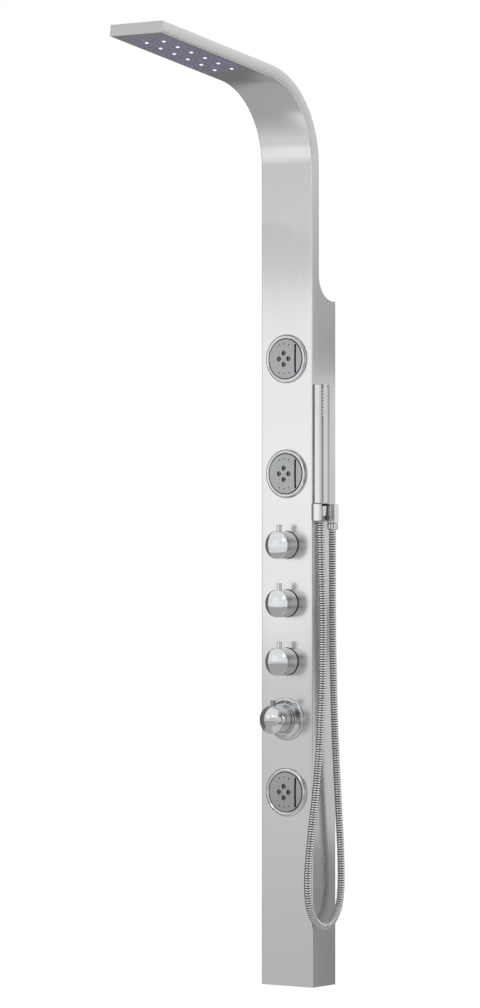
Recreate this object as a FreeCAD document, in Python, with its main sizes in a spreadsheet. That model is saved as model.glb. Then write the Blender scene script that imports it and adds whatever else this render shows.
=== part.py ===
"""Shower panel column: a folded steel column with a rain-head arm, body jets and a handset.

Frame: origin on the wall plane, on the centre line, level with the bottom edge of the column.
+Z is up, the front of the column faces -Y, and the handset hangs on the +X side. Millimetres.
"""

import FreeCAD
import Part
import math
import os
import Sketcher

# ---------------------------------------------------------------- driving sizes

SIZES = [
    # column and arm
    ("panel_width", 100, "width of column and arm"),
    ("box_depth", 65, "depth of the lower box, front face to wall"),
    ("thin_depth", 18.5, "thickness of the upper column and the arm"),
    ("sheet_thick", 1.2, "stainless sheet"),
    ("bend_radius", 2.0, "outside radius of the long folds"),
    ("ledge_height", 1102, "top of the lower box"),
    ("step_radius", 41, "hollow curve between box and thin column"),
    ("curve_start", 1320, "height where the column starts to curve forward"),
    ("curve_radius", 150, "outer radius of the curve"),
    ("arm_slope", 8.4, "rise of the arm towards its tip, degrees"),
    ("arm_reach", 400, "tip of the arm in front of the front face"),
    ("rear_lip", 15, "upturned lip at the bottom rear"),
    # wall brackets and hangers
    ("upper_bracket_height", 1035, "foot of the upper wall bracket"),
    ("lower_bracket_height", 40, "foot of the lower wall bracket"),
    ("bracket_width", 80, "wall bracket width"),
    ("bracket_thick", 2.5, "wall bracket and hanger plate"),
    ("bracket_leg", 40, "height of the bracket leg on the wall"),
    ("bracket_reach", 12, "bracket lip in front of the wall"),
    ("bracket_lip", 12, "lip above the bracket shelf"),
    ("bracket_hole_rise", 18, "screw holes above the bracket foot"),
    ("bracket_hole_spacing", 60, "screw hole spacing"),
    ("bracket_hole_radius", 3.25, "screw hole radius"),
    ("hanger_drop", 22, "front leg of the hanger"),
    ("hook_clearance", 0.3, "clearance beside the bracket lip"),
    # rain head
    ("chamber_start", 22, "rain chamber behind the tip edge"),
    ("chamber_length", 228, "rain chamber along the arm"),
    ("chamber_width", 84, "rain chamber width"),
    ("chamber_wall", 2, "rain chamber wall"),
    ("chamber_rib", 13, "rib over each light board"),
    ("rib_margin", 10, "ribs from the ends of the chamber"),
    ("mat_thick", 1.5, "silicone nozzle mat"),
    ("nozzle_first", 28, "first nozzle row behind the tip edge"),
    ("nozzle_pitch", 12, "nozzle row pitch"),
    ("nozzle_radius", 1.6, "nozzle outside"),
    ("nozzle_orifice", 0.6, "nozzle orifice radius"),
    ("nozzle_drop", 2.0, "nozzle tip below the sheet"),
    ("nozzle_inner", 6, "inner nozzle columns from the centre line"),
    ("nozzle_middle", 27, "middle nozzle columns from the centre line"),
    ("nozzle_outer", 36, "outer nozzle columns from the centre line"),
    ("light_first", 51, "first light behind the tip edge"),
    ("light_pitch", 36, "light pitch"),
    ("light_offset", 16.5, "light rows from the centre line"),
    ("light_radius", 3.2, "light lens radius"),
    ("light_drop", 1.2, "lens dome below the sheet"),
    ("board_width", 9, "light board width"),
    ("board_tail", 14, "light board end behind the chamber"),
    # jets
    ("jet_top_height", 1009, "upper jet"),
    ("jet_middle_height", 824, "middle jet"),
    ("jet_low_height", 312, "lower jet"),
    ("bezel_radius", 39.4, "jet bezel outside"),
    ("bezel_rise", 5, "jet bezel in front of the panel"),
    ("bezel_bore", 33.65, "opening of the jet bezel"),
    ("bezel_round", 4.3, "rounded outer edge of the bezel"),
    ("bezel_lip_depth", 3.2, "depth of the bezel lip round the ball"),
    ("ball_radius", 32.0, "swivelling jet ball"),
    ("ball_gap", 0.3, "clearance round the ball"),
    ("ball_pivot", 1, "ball centre behind the front face"),
    ("ball_front", 5, "rim of the jet face in front of the ball centre"),
    ("ball_dome", 0.9, "crown of the jet face"),
    ("ball_back", 14, "back of the ball behind its centre"),
    ("ball_wall", 3.2, "side wall of the ball"),
    ("face_thick", 4.5, "front wall of the ball"),
    ("seat_front", 2.2, "seat ring in front of the ball centre"),
    ("seat_back", 11, "seat ring behind the ball centre"),
    ("seat_wall", 1.4, "seat ring wall at the ball centre"),
    ("socket_wall", 1.4, "jet socket wall"),
    ("socket_chamber", 22.5, "socket chamber behind the ball centre"),
    ("socket_back", 2.5, "socket rear wall"),
    ("stub_radius", 8, "jet inlet stub"),
    ("stub_end", 30, "jet inlet stub end in front of the wall"),
    ("locknut_radius", 41, "jet locknut outside"),
    ("locknut_thick", 6, "jet locknut"),
    ("spray_offset", 2.6, "centre of the spray pattern left of the centre line"),
    ("spray_ring", 9.2, "large sprays from the pattern centre"),
    ("spray_recess", 4.3, "recess round each large spray"),
    ("spray_recess_depth", 2.4, "depth of that recess"),
    ("spray_hole", 1.5, "large spray hole radius"),
    ("fine_ring", 24.2, "fine sprays from the pattern centre"),
    ("fine_hole", 1.1, "fine spray hole radius"),
    ("slot_offset", 19.4, "finger slot right of the centre line"),
    ("slot_width", 3.3, "finger slot width"),
    ("slot_length", 46.7, "finger slot length"),
    # valve knobs
    ("knob_top_height", 709.5, "first knob"),
    ("knob_pitch", 93.75, "knob spacing"),
    ("knob_radius", 22.25, "knob radius"),
    ("knob_gap", 1.7, "gap between knob and panel"),
    ("knob_length", 28.7, "crease of the knob in front of the panel"),
    ("knob_dome", 4, "dome height"),
    ("knob_recess", 19.5, "recess behind the knob"),
    ("knob_recess_depth", 7.5, "depth of that recess"),
    ("collar_radius", 18.5, "black collar nut"),
    ("collar_thick", 3.0, "black collar nut thickness"),
    ("collar_rim_radius", 22.8, "thin rim of the collar nut on the panel"),
    ("collar_rim_thick", 1.1, "thin rim of the collar nut on the panel"),
    ("pin_radius", 4.1, "lever pin"),
    ("pin_out", 21, "lever pin axis in front of the panel"),
    ("pin_root", 15, "lever pin foot from the knob axis"),
    ("pin_rise", 10.2, "lever pin above the knob"),
    ("spindle_radius", 4, "valve spindle"),
    ("spindle_inside", 11, "spindle behind the front face"),
    ("spindle_out", 23.5, "spindle in front of the front face"),
    ("cartridge_radius", 12, "stop cartridge"),
    ("cartridge_inside", 21, "cartridge behind the front face"),
    ("cartridge_out", 1.5, "cartridge in front of the front face"),
    ("running_fit", 0.05, "radial running clearance of spindles"),
    ("fit_gap", 0.15, "radial clearance of fixed fits"),
    # thermostat
    ("thermostat_height", 429.5, "thermostat knob"),
    ("thermo_radius", 22.5, "thermostat knob radius"),
    ("thermo_back", 19, "rear face of the knob in front of the panel"),
    ("thermo_length", 44, "crease in front of the panel"),
    ("thermo_dome", 8, "dome height"),
    ("thermo_recess", 18, "recess radius behind the knob"),
    ("thermo_recess_depth", 9, "depth of that recess"),
    ("flange_radius", 34.5, "flange"),
    ("flange_thick", 4, "flange thickness"),
    ("neck_radius", 24.4, "neck ring of the flange"),
    ("neck_length", 18, "neck ring in front of the panel"),
    ("neck_wall", 2, "neck ring wall"),
    ("scale_radius", 30.2, "scale ring"),
    ("scale_rim", 2.5, "straight rim of the scale ring"),
    ("scale_length", 7, "scale ring length"),
    ("scale_front", 25.2, "front radius of the scale ring"),
    ("thermo_cartridge_radius", 20, "thermostat cartridge"),
    ("thermo_neck_radius", 14, "cartridge neck"),
    ("thermo_neck_out", 14, "cartridge neck in front of the panel"),
    ("thermo_spindle_radius", 5, "thermostat spindle"),
    ("thermo_spindle_out", 34.5, "spindle in front of the panel"),
    ("thermo_spindle_inside", 4, "spindle behind the front face"),
    ("button_out", 38.4, "safety button in front of the panel"),
    ("button_width", 6.6, "safety button across"),
    ("button_depth", 5.4, "safety button along the knob"),
    ("button_rise", 8.6, "safety button above the knob"),
    ("button_root", 16, "safety button foot from the knob axis"),
    ("button_clearance", 0.3, "clearance round the button"),
    ("spring_length", 4, "button spring"),
    ("spring_radius", 2.4, "button spring outside"),
    ("spring_wire", 0.8, "button spring wall"),
    # manifold and pipes
    ("manifold_front", 42, "manifold front from the wall"),
    ("manifold_back", 11, "manifold back from the wall"),
    ("manifold_half", 16, "manifold half width"),
    ("manifold_over", 35.5, "manifold above the first knob"),
    ("manifold_under", 44.5, "manifold below the thermostat"),
    ("head_height", 18, "manifold head"),
    ("foot_height", 20, "manifold foot"),
    ("foot_half", 37, "manifold foot half width"),
    ("port_floor", 4, "brass below a port"),
    ("boss_radius", 17, "stop valve boss"),
    ("thermo_boss_radius", 24, "thermostat boss"),
    ("inlet_offset", 25, "inlets from the centre line"),
    ("inlet_radius", 10.45, "inlet thread outside"),
    ("inlet_bore", 7, "inlet bore"),
    ("inlet_length", 20, "inlet nipple"),
    ("pipe_radius", 6, "pipe outside"),
    ("pipe_bore", 4.5, "pipe bore"),
    ("pipe_bend", 9, "bend of the short pipes"),
    ("branch_radius", 5, "branch to the middle jet, outside"),
    ("branch_bore", 3.6, "branch to the middle jet, bore"),
    ("jet_pipe_back", 19, "jet pipe axis from the wall"),
    ("rain_port_offset", 25, "rain pipe left of the centre line"),
    ("rain_port_back", 24, "rain pipe axis from the wall"),
    ("outlet_port_offset", 14, "handset port right of the centre line"),
    ("generator_radius", 13, "water generator"),
    ("generator_length", 45, "water generator"),
    ("cable_offset", 15.5, "light cable left of the centre line"),
    ("cable_radius", 1.6, "light cable"),
    ("shift_start", 1052, "height where pipe and cable shift forward"),
    ("shift_length", 58, "height of that shift"),
    # outlet block and holder
    ("outlet_height", 761.8, "centre height of the outlet block"),
    ("block_height", 26.4, "outlet block height"),
    ("block_reach", 24.6, "outlet block beyond the side face"),
    ("block_thick", 11.8, "outlet block thickness"),
    ("gasket_thick", 1, "outlet gasket"),
    ("spigot_radius", 5.2, "outlet spigot"),
    ("spigot_bore", 3.5, "outlet spigot bore"),
    ("spigot_length", 20, "spigot inside the side face"),
    ("outlet_nut_radius", 10, "outlet locknut"),
    ("outlet_nut_thick", 5, "outlet locknut"),
    ("holder_out", 16.7, "handset axis beyond the side face"),
    ("holder_back", 0.4, "handset axis behind the front face"),
    ("holder_radius", 15.6, "holder ring outside"),
    ("holder_bore", 11.8, "holder ring bore"),
    ("holder_slot", 16, "slot in the holder ring"),
    ("holder_slot_turn", 20, "slot direction forward of +X, degrees"),
    ("neck_start", 3.5, "holder arm beyond the side face"),
    ("neck_end", 15, "holder arm far side beyond the side face"),
    ("outlet_collar_radius", 9.6, "collar under the block"),
    ("outlet_collar_height", 3.2, "collar height"),
    ("nipple_radius", 6.8, "hose thread"),
    ("nipple_length", 9.4, "hose thread below the collar"),
    # hose fittings and handset
    ("hose_nut_radius", 9, "hose nut"),
    ("hose_nut_end", 7.2, "hose nut radius at its ends"),
    ("hose_nut_height", 11.6, "hose nut"),
    ("hose_nut_shoulder", 2.4, "sloping shoulders of the hose nut"),
    ("hose_nut_floor", 2.2, "hose nut floor"),
    ("cone_top_radius", 10.2, "conical nut, top"),
    ("cone_bottom_radius", 9.2, "conical nut, bottom"),
    ("cone_height", 16, "conical nut"),
    ("cone_thread_depth", 9, "thread inside the conical nut"),
    ("sleeve_radius", 6.8, "strain sleeve"),
    ("sleeve_height", 7.4, "strain sleeve"),
    ("seat_clearance", 0.3, "conical nut in its bush"),
    ("handset_radius", 13.3, "handset"),
    ("handset_length", 191.6, "handset"),
    ("handset_wall", 1.6, "handset wall"),
    ("handset_rounding", 1.6, "handset end rounding"),
    ("handset_thread", 8.3, "handset thread"),
    ("handset_spray_turn", 20, "spray side of the handset from -Y, degrees"),
    ("handset_spray_spread", 28, "spray columns each side, degrees"),
    ("handset_spray_first", 9.4, "first spray row below the top"),
    ("handset_spray_pitch", 5.08, "spray row pitch"),
    ("handset_spray_radius", 1.3, "handset nozzle radius"),
    ("handset_spray_out", 0.5, "handset nozzle in front of the tube"),
    ("washer_height", 3.6, "rubber ring under the handset"),
    ("washer_radius", 9.6, "rubber ring under the handset"),
    ("hose_radius", 6, "hose over its ribs"),
    ("hose_groove", 0.8, "depth of the grooves between ribs"),
    ("hose_bore", 3.6, "hose bore"),
]

NOZZLE_ROWS = 18
LIGHTS_PER_ROW = 6
HANDSET_ROWS = 9
HOSE_RIBS = 196

doc = FreeCAD.newDocument("shower_panel")
sheet = doc.addObject("Spreadsheet::Sheet", "sizes")


class Size:
    """A size that carries its number and the sheet formula that gives it."""

    def __init__(self, number, formula):
        self.number = float(number)
        self.formula = formula

    def __float__(self):
        return self.number

    def joined(self, other, sign, number, swapped=False):
        """The size made of this one and another by the operation named by sign."""
        pair = [self.formula, formula_of(other)]
        if swapped:
            pair.reverse()
        return Size(number, f"({pair[0]} {sign} {pair[1]})")

    def __add__(self, other):
        return self.joined(other, "+", self.number + float(other))

    def __radd__(self, other):
        return self.joined(other, "+", float(other) + self.number, swapped=True)

    def __sub__(self, other):
        return self.joined(other, "-", self.number - float(other))

    def __rsub__(self, other):
        return self.joined(other, "-", float(other) - self.number, swapped=True)

    def __mul__(self, other):
        return self.joined(other, "*", self.number * float(other))

    def __rmul__(self, other):
        return self.joined(other, "*", float(other) * self.number, swapped=True)

    def __truediv__(self, other):
        return self.joined(other, "/", self.number / float(other))

    def __neg__(self):
        return Size(-self.number, f"(-1 * {self.formula})")


def formula_of(thing):
    """The sheet formula of a size, or the text of a plain number."""
    return thing.formula if isinstance(thing, Size) else repr(float(thing))


def sine(angle):
    return Size(math.sin(math.radians(float(angle))), f"sin({formula_of(angle)} * 1 deg)")


def cosine(angle):
    return Size(math.cos(math.radians(float(angle))), f"cos({formula_of(angle)} * 1 deg)")


def root(square):
    return Size(math.sqrt(float(square)), f"sqrt({formula_of(square)})")


def dome_radius(base_radius, rise):
    """Radius of the sphere whose cap has this base radius and rise."""
    return (base_radius * base_radius + rise * rise) / (2 * rise)


class Values:
    """The driving sizes by name."""


def fill_sheet():
    """Write the driving sizes into the sheet and return them by name."""
    values = Values()
    for row, (name, number, note) in enumerate(SIZES, start=1):
        sheet.set(f"A{row}", name)
        sheet.set(f"B{row}", str(number))
        sheet.setAlias(f"B{row}", name)
        sheet.set(f"C{row}", note)
    doc.recompute()
    for name, _, _ in SIZES:
        setattr(values, name, Size(sheet.get(name), f"sizes.{name}"))
    return values


S = fill_sheet()
pieces = {}


# ---------------------------------------------------------------- building helpers

def bind(feature, prop, thing):
    """Set a property to a size and bind it to the sheet."""
    feature.setExpression(prop, formula_of(thing))


def place(feature, at=(0, 0, 0), axis=None, angle=0):
    """Give a feature its placement: a fixed axis and turn, and a bound position."""
    turn = FreeCAD.Rotation()
    if axis is not None:
        turn = FreeCAD.Rotation(FreeCAD.Vector(*axis), float(angle))
    base = FreeCAD.Vector(*[float(v) for v in at])
    feature.Placement = FreeCAD.Placement(base, turn)
    for letter, value in zip("xyz", at):
        if isinstance(value, Size):
            bind(feature, f"Placement.Base.{letter}", value)
    if isinstance(angle, Size):
        feature.setExpression("Placement.Rotation.Angle", f"{angle.formula} * 1 deg")
    return feature


def keep(label, feature):
    """Register a finished sub-part under its label."""
    feature.Label = label
    pieces[label] = feature
    return feature


def origin_plane(body, role):
    for feature in body.Origin.OriginFeatures:
        if feature.Role == role:
            return feature
    raise ValueError(role)


def sketch_on(body, name, role, offset=None):
    """A sketch on one of the body's own planes, moved along its normal by offset."""
    sketch = body.newObject("Sketcher::SketchObject", name)
    sketch.AttachmentSupport = [(origin_plane(body, role), "")]
    sketch.MapMode = "FlatFace"
    if offset is not None:
        sketch.AttachmentOffset = FreeCAD.Placement(
            FreeCAD.Vector(0, 0, float(offset)), FreeCAD.Rotation())
        bind(sketch, "AttachmentOffset.Base.z", offset)
    return sketch


def fix_point(sketch, edge, end, corner):
    """Hold one end of a sketch edge at a corner whose coordinates come from the sheet."""
    for kind, value, axis in (("DistanceX", corner[0], -2), ("DistanceY", corner[1], -1)):
        if not isinstance(value, Size) and value == 0:
            sketch.addConstraint(Sketcher.Constraint("PointOnObject", edge, end, axis))
            continue
        index = sketch.addConstraint(
            Sketcher.Constraint(kind, -1, 1, edge, end, float(value)))
        sketch.setExpression(f"Constraints[{index}]", formula_of(value))


def outline(sketch, corners):
    """Draw a closed outline. A corner is (u, v), or (u, v, radius, centre u, centre v) where
    the edge that leaves it is an arc of under a half circle about that centre."""
    points = [FreeCAD.Vector(float(c[0]), float(c[1]), 0) for c in corners]
    starts = []
    ends = []
    for index, corner in enumerate(corners):
        here = points[index]
        there = points[(index + 1) % len(points)]
        if len(corner) == 2:
            edge = sketch.addGeometry(Part.LineSegment(here, there))
            starts.append((edge, 1))
            ends.append((edge, 2))
            continue
        centre = FreeCAD.Vector(float(corner[3]), float(corner[4]), 0)
        towards = (here + there) * 0.5 - centre
        middle = centre + towards.normalize() * float(corner[2])
        leftward = (here - centre).cross(there - centre).z > 0
        first, last = (here, there) if leftward else (there, here)
        edge = sketch.addGeometry(Part.Arc(first, middle, last))
        starts.append((edge, 1 if leftward else 2))
        ends.append((edge, 2 if leftward else 1))
        bound = sketch.addConstraint(Sketcher.Constraint("Radius", edge, float(corner[2])))
        sketch.setExpression(f"Constraints[{bound}]", formula_of(corner[2]))
    for index in range(len(corners)):
        following = (index + 1) % len(corners)
        sketch.addConstraint(
            Sketcher.Constraint("Coincident", *ends[index], *starts[following]))
        fix_point(sketch, starts[index][0], starts[index][1], corners[index])


def circle(sketch, radius, u, v):
    """Draw a circle whose centre and radius come from the sheet."""
    centre = FreeCAD.Vector(float(u), float(v), 0)
    edge = sketch.addGeometry(Part.Circle(centre, FreeCAD.Vector(0, 0, 1), float(radius)))
    index = sketch.addConstraint(Sketcher.Constraint("Radius", edge, float(radius)))
    sketch.setExpression(f"Constraints[{index}]", formula_of(radius))
    fix_point(sketch, edge, 3, (u, v))


def turned(label, corners, at=(0, 0, 0), upright=False):
    """A body turned about its Y axis, or about its Z axis if upright.
    Corners are (radius, along the axis)."""
    body = doc.addObject("PartDesign::Body", label)
    sketch = sketch_on(body, f"{label}_profile", "XZ_Plane" if upright else "XY_Plane")
    outline(sketch, corners)
    spin = body.newObject("PartDesign::Revolution", f"{label}_turned")
    spin.Profile = sketch
    spin.ReferenceAxis = (sketch, ["V_Axis"])
    spin.Angle = 360
    return place(body, at)


def ring(label, inner, outer, start, end, at=(0, 0, 0), upright=False):
    """A plain ring, or a disc where inner is 0."""
    corners = [(inner, start), (outer, start), (outer, end), (inner, end)]
    return turned(label, corners, at, upright)


def folded(label, corners, width):
    """A body of constant section in Y and Z, centred on X = 0."""
    body = doc.addObject("PartDesign::Body", label)
    sketch = sketch_on(body, f"{label}_section", "YZ_Plane")
    outline(sketch, corners)
    pad = body.newObject("PartDesign::Pad", f"{label}_pad")
    pad.Profile = sketch
    pad.SideType = "Symmetric"
    bind(pad, "Length", width)
    return body


def pocket(body, sketch, length=None):
    """Cut a sketch out of a body both ways from its plane, through all without a length."""
    cut_out = body.newObject("PartDesign::Pocket", f"{sketch.Name}_cut")
    cut_out.Profile = sketch
    cut_out.SideType = "Symmetric"
    if length is None:
        cut_out.Type = "ThroughAll"
    else:
        bind(cut_out, "Length", length)
    return cut_out


def box(label, low, high):
    """A box between two corners."""
    solid = doc.addObject("Part::Box", label)
    for prop, start, end in zip(("Length", "Width", "Height"), low, high):
        bind(solid, prop, end - start)
    return place(solid, low)


def rod(label, radius, length, at, axis=None, angle=90):
    """A cylinder along +Z, or turned about an axis."""
    solid = doc.addObject("Part::Cylinder", label)
    bind(solid, "Radius", radius)
    bind(solid, "Height", length)
    return place(solid, at, axis, angle)


ALONG_FRONT = (1, 0, 0)
ALONG_RIGHT = (0, 1, 0)


def fused(label, shapes):
    joined = doc.addObject("Part::MultiFuse", label)
    joined.Shapes = shapes
    return joined


def cut(label, base, tool):
    result = doc.addObject("Part::Cut", label)
    result.Base = base
    result.Tool = tool
    return result


def shaped(label, shape):
    """A feature whose shape is worked out here from the sheet's sizes."""
    feature = doc.addObject("Part::Feature", label)
    feature.Shape = shape
    feature.Placement = FreeCAD.Placement()
    return feature


def bent_path(points, bends):
    """A wire of straight runs joined by tangent arcs, one bend radius per inner point."""
    edges = []
    start = points[0]
    for index in range(1, len(points) - 1):
        corner = points[index]
        back = (points[index - 1] - corner).normalize()
        ahead = (points[index + 1] - corner).normalize()
        half = back.getAngle(ahead) / 2
        reach = bends[index - 1] / math.tan(half)
        before = corner + back * reach
        after = corner + ahead * reach
        towards = (back + ahead).normalize()
        middle = corner + towards * (bends[index - 1] / math.sin(half) - bends[index - 1])
        if before.distanceToPoint(start) > 1e-6:
            edges.append(Part.LineSegment(start, before).toShape())
        edges.append(Part.Arc(before, middle, after).toShape())
        start = after
    if start.distanceToPoint(points[-1]) > 1e-6:
        edges.append(Part.LineSegment(start, points[-1]).toShape())
    return Part.Wire(edges)


def tube(path, radius):
    """A round bar swept along a path."""
    start = path.Edges[0].valueAt(path.Edges[0].FirstParameter)
    tangent = path.Edges[0].tangentAt(path.Edges[0].FirstParameter)
    section = Part.Wire([Part.makeCircle(float(radius), start, tangent)])
    return path.makePipeShell([section], True, False)


def elbow_bar(foot, corner, end, bend, radius):
    """A round bar that runs from foot to corner and on to end, square, with one bend."""
    up = (corner - foot).normalize()
    out = (end - corner).normalize()
    turn_start = corner - up * bend
    turn_end = corner + out * bend
    first = Part.makeCylinder(radius, foot.distanceToPoint(turn_start), foot, up)
    disc = Part.Face(Part.Wire([Part.makeCircle(radius, turn_start, up)]))
    centre = turn_start + out * bend
    turn = disc.revolve(centre, up.cross(out), 90)
    bar = first.fuse(turn)
    last = end.distanceToPoint(turn_end)
    if last > 1e-6:
        bar = bar.fuse(Part.makeCylinder(radius, last, turn_end, out))
    return bar.removeSplitter()


def elbow_pipe(label, foot, corner, end, bend):
    """A bored pipe with one square bend."""
    outer = elbow_bar(foot, corner, end, bend, float(S.pipe_radius))
    inner = elbow_bar(foot, corner, end, bend, float(S.pipe_bore))
    return shaped(label, outer.cut(inner))


# ---------------------------------------------------------------- shared places

front = -S.box_depth
side = S.panel_width / 2
thin_back = front + S.thin_depth
curve_y = thin_back - S.curve_radius
rise_sin = sine(S.arm_slope)
rise_cos = cosine(S.arm_slope)
inner_radius = S.curve_radius - S.thin_depth
tip_y = front - S.arm_reach
tip_z = S.curve_start + (S.curve_radius - rise_sin * (tip_y - curve_y)) / rise_cos
step_y = thin_back + S.step_radius
step_z = S.ledge_height + S.step_radius


def on_curve(radius):
    """The point where the curve of this radius meets the arm."""
    return curve_y + radius * rise_sin, S.curve_start + radius * rise_cos


def on_arm(along, below):
    """A point on the arm in Y and Z: along it from the tip's top edge, and below its top."""
    return (tip_y + along * rise_cos - below * rise_sin,
            tip_z - along * rise_sin - below * rise_cos)


# ---------------------------------------------------------------- column and cover

def column_shell():
    """Folded sheet: front, sides, underside of the arm, tip and bottom with a rear lip."""
    thick = S.sheet_thick
    over = S.sheet_thick * 4
    full = [
        (front, 0),
        (front, S.curve_start, inner_radius, curve_y, S.curve_start),
        on_curve(inner_radius),
        on_arm(0, S.thin_depth),
        on_arm(0, 0),
        (*on_curve(S.curve_radius), S.curve_radius, curve_y, S.curve_start),
        (thin_back, S.curve_start),
        (thin_back, step_z, S.step_radius, step_y, step_z),
        (step_y, S.ledge_height),
        (0, S.ledge_height),
        (0, 0),
    ]
    body = folded("column_form", full, S.panel_width)
    doc.recompute()
    soften_folds(body)
    hollow = [
        (front + thick, thick),
        (front + thick, S.curve_start, inner_radius + thick, curve_y, S.curve_start),
        on_curve(inner_radius + thick),
        on_arm(thick, S.thin_depth - thick),
        on_arm(thick, -over),
        (*on_curve(S.curve_radius + over), S.curve_radius + over, curve_y, S.curve_start),
        (thin_back + over, S.curve_start),
        (thin_back + over, step_z, S.step_radius - over, step_y, step_z),
        (step_y, S.ledge_height + over),
        (over, S.ledge_height + over),
        (over, thick),
    ]
    sketch = sketch_on(body, "column_hollow", "YZ_Plane")
    outline(sketch, hollow)
    pocket(body, sketch, S.panel_width - 2 * thick)
    lip = sketch_on(body, "column_lip", "YZ_Plane")
    outline(lip, [(-thick, 0), (0, 0), (0, S.rear_lip), (-thick, S.rear_lip)])
    pad = body.newObject("PartDesign::Pad", "column_lip_pad")
    pad.Profile = lip
    pad.SideType = "Symmetric"
    bind(pad, "Length", S.panel_width - thick)
    holes = sketch_on(body, "column_front_holes", "XZ_Plane")
    for height in (S.jet_top_height, S.jet_middle_height, S.jet_low_height):
        circle(holes, socket_radius + 2 * S.fit_gap, 0, height)
    for height in knob_heights:
        circle(holes, S.cartridge_radius + 2 * S.fit_gap, 0, height)
    circle(holes, S.thermo_cartridge_radius + 2 * S.fit_gap, 0, S.thermostat_height)
    pocket(body, holes)
    port = sketch_on(body, "column_side_hole", "YZ_Plane", side)
    circle(port, S.spigot_radius + 2 * S.fit_gap, front / 2, S.outlet_height)
    pocket(body, port, 4 * thick)
    doc.recompute()
    keep("column_shell", cut("column_cut", body, rain_holes()))


def soften_folds(body):
    """Round the long folds between the front and the sides, all along the column and arm."""
    names = []
    for index, edge in enumerate(body.Shape.Edges, start=1):
        middle = edge.valueAt((edge.FirstParameter + edge.LastParameter) / 2)
        on_side = abs(abs(middle.x) - float(side)) < 1e-6 and edge.Length > float(S.panel_width)
        flat = abs(edge.BoundBox.XLength) < 1e-6
        on_front = abs(middle.y - float(front)) < 1e-6
        under = middle.y < float(front) and below_arm(middle)
        if on_side and flat and (on_front or under):
            names.append(f"Edge{index}")
    solid = body.Tip
    bend = body.newObject("PartDesign::Fillet", "column_folds")
    bend.Base = (solid, names)
    bind(bend, "Radius", S.bend_radius)


def below_arm(point):
    """Whether a point lies nearer the underside than the top of the curve and the arm."""
    half_radius = float(inner_radius) + float(S.thin_depth) / 2
    away_y = point.y - float(curve_y)
    away_z = point.z - float(S.curve_start)
    if away_y > half_radius * float(rise_sin):
        return math.hypot(away_y, away_z) < half_radius
    return away_y * float(rise_sin) + away_z * float(rise_cos) < half_radius


def nozzle_places():
    """Every rain nozzle as (x, along the arm)."""
    columns = (S.nozzle_inner, S.nozzle_middle, S.nozzle_outer)
    for row in range(NOZZLE_ROWS):
        along = float(S.nozzle_first) + row * float(S.nozzle_pitch)
        for column in columns:
            yield float(column), along
            yield -float(column), along


def light_places():
    """Every light as (x, along the arm)."""
    for number in range(LIGHTS_PER_ROW):
        along = float(S.light_first) + number * float(S.light_pitch)
        yield float(S.light_offset), along
        yield -float(S.light_offset), along


def arm_bar(x, along, top, bottom, radius):
    """A round bar square to the arm, between two depths below its top."""
    y, z = on_arm(along, bottom)
    direction = FreeCAD.Vector(0, float(rise_sin), float(rise_cos))
    foot = FreeCAD.Vector(x, float(y), float(z))
    return Part.makeCylinder(float(radius), float(bottom - top), foot, direction)


def rain_holes():
    """Bars that cut the holes for nozzles and lights in the underside of the arm."""
    low = S.thin_depth + S.sheet_thick
    high = S.thin_depth - 2 * S.sheet_thick
    bars = [arm_bar(x, along, high, low, S.nozzle_radius + S.fit_gap)
            for x, along in nozzle_places()]
    bars += [arm_bar(x, along, high, low, S.light_radius + S.fit_gap)
             for x, along in light_places()]
    return shaped("rain_hole_bars", Part.makeCompound(bars))


def back_cover():
    """Sheet that closes the top of the arm, the back of the thin column and the ledge."""
    thick = S.sheet_thick
    corners = [
        on_arm(thick, 0),
        (*on_curve(S.curve_radius), S.curve_radius, curve_y, S.curve_start),
        (thin_back, S.curve_start),
        (thin_back, step_z, S.step_radius, step_y, step_z),
        (step_y, S.ledge_height),
        (0, S.ledge_height),
        (0, S.ledge_height - thick),
        (step_y, S.ledge_height - thick, S.step_radius + thick, step_y, step_z),
        (thin_back - thick, step_z),
        (thin_back - thick, S.curve_start, S.curve_radius - thick, curve_y, S.curve_start),
        on_curve(S.curve_radius - thick),
        on_arm(thick, thick),
    ]
    keep("back_cover", folded("cover_form", corners, S.panel_width - 2 * thick))


# ---------------------------------------------------------------- brackets

def wall_bracket(label, foot):
    """Plate on the wall with two screw holes and an upturned hook lip."""
    thick = S.bracket_thick
    shelf = foot + S.bracket_leg
    tip = shelf + S.bracket_lip
    lip_back = -S.bracket_reach + thick
    corners = [
        (0, foot), (0, shelf), (lip_back, shelf), (lip_back, tip),
        (-S.bracket_reach, tip), (-S.bracket_reach, shelf - thick),
        (-thick, shelf - thick), (-thick, foot),
    ]
    body = folded(label, corners, S.bracket_width)
    sketch = sketch_on(body, f"{label}_holes", "XZ_Plane")
    for sign in (-1, 1):
        circle(sketch, S.bracket_hole_radius, sign * S.bracket_hole_spacing / 2,
               foot + S.bracket_hole_rise)
    pocket(body, sketch)
    keep(label, body)


def hanger(label, foot):
    """Folded bar between the side walls that hooks over the bracket lip."""
    thick = S.bracket_thick
    gap = S.hook_clearance
    lip_top = foot + S.bracket_leg + S.bracket_lip
    outer_front = -S.bracket_reach - gap - thick
    inner_back = -S.bracket_reach + thick + gap
    corners = [
        (outer_front, lip_top + thick), (outer_front, lip_top - S.hanger_drop),
        (outer_front + thick, lip_top - S.hanger_drop), (outer_front + thick, lip_top),
        (inner_back, lip_top), (inner_back, lip_top - S.bracket_lip + 2 * gap),
        (inner_back + thick, lip_top - S.bracket_lip + 2 * gap),
        (inner_back + thick, lip_top + thick),
    ]
    keep(label, folded(label, corners, S.panel_width - 2 * S.sheet_thick))


# ---------------------------------------------------------------- rain head

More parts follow.
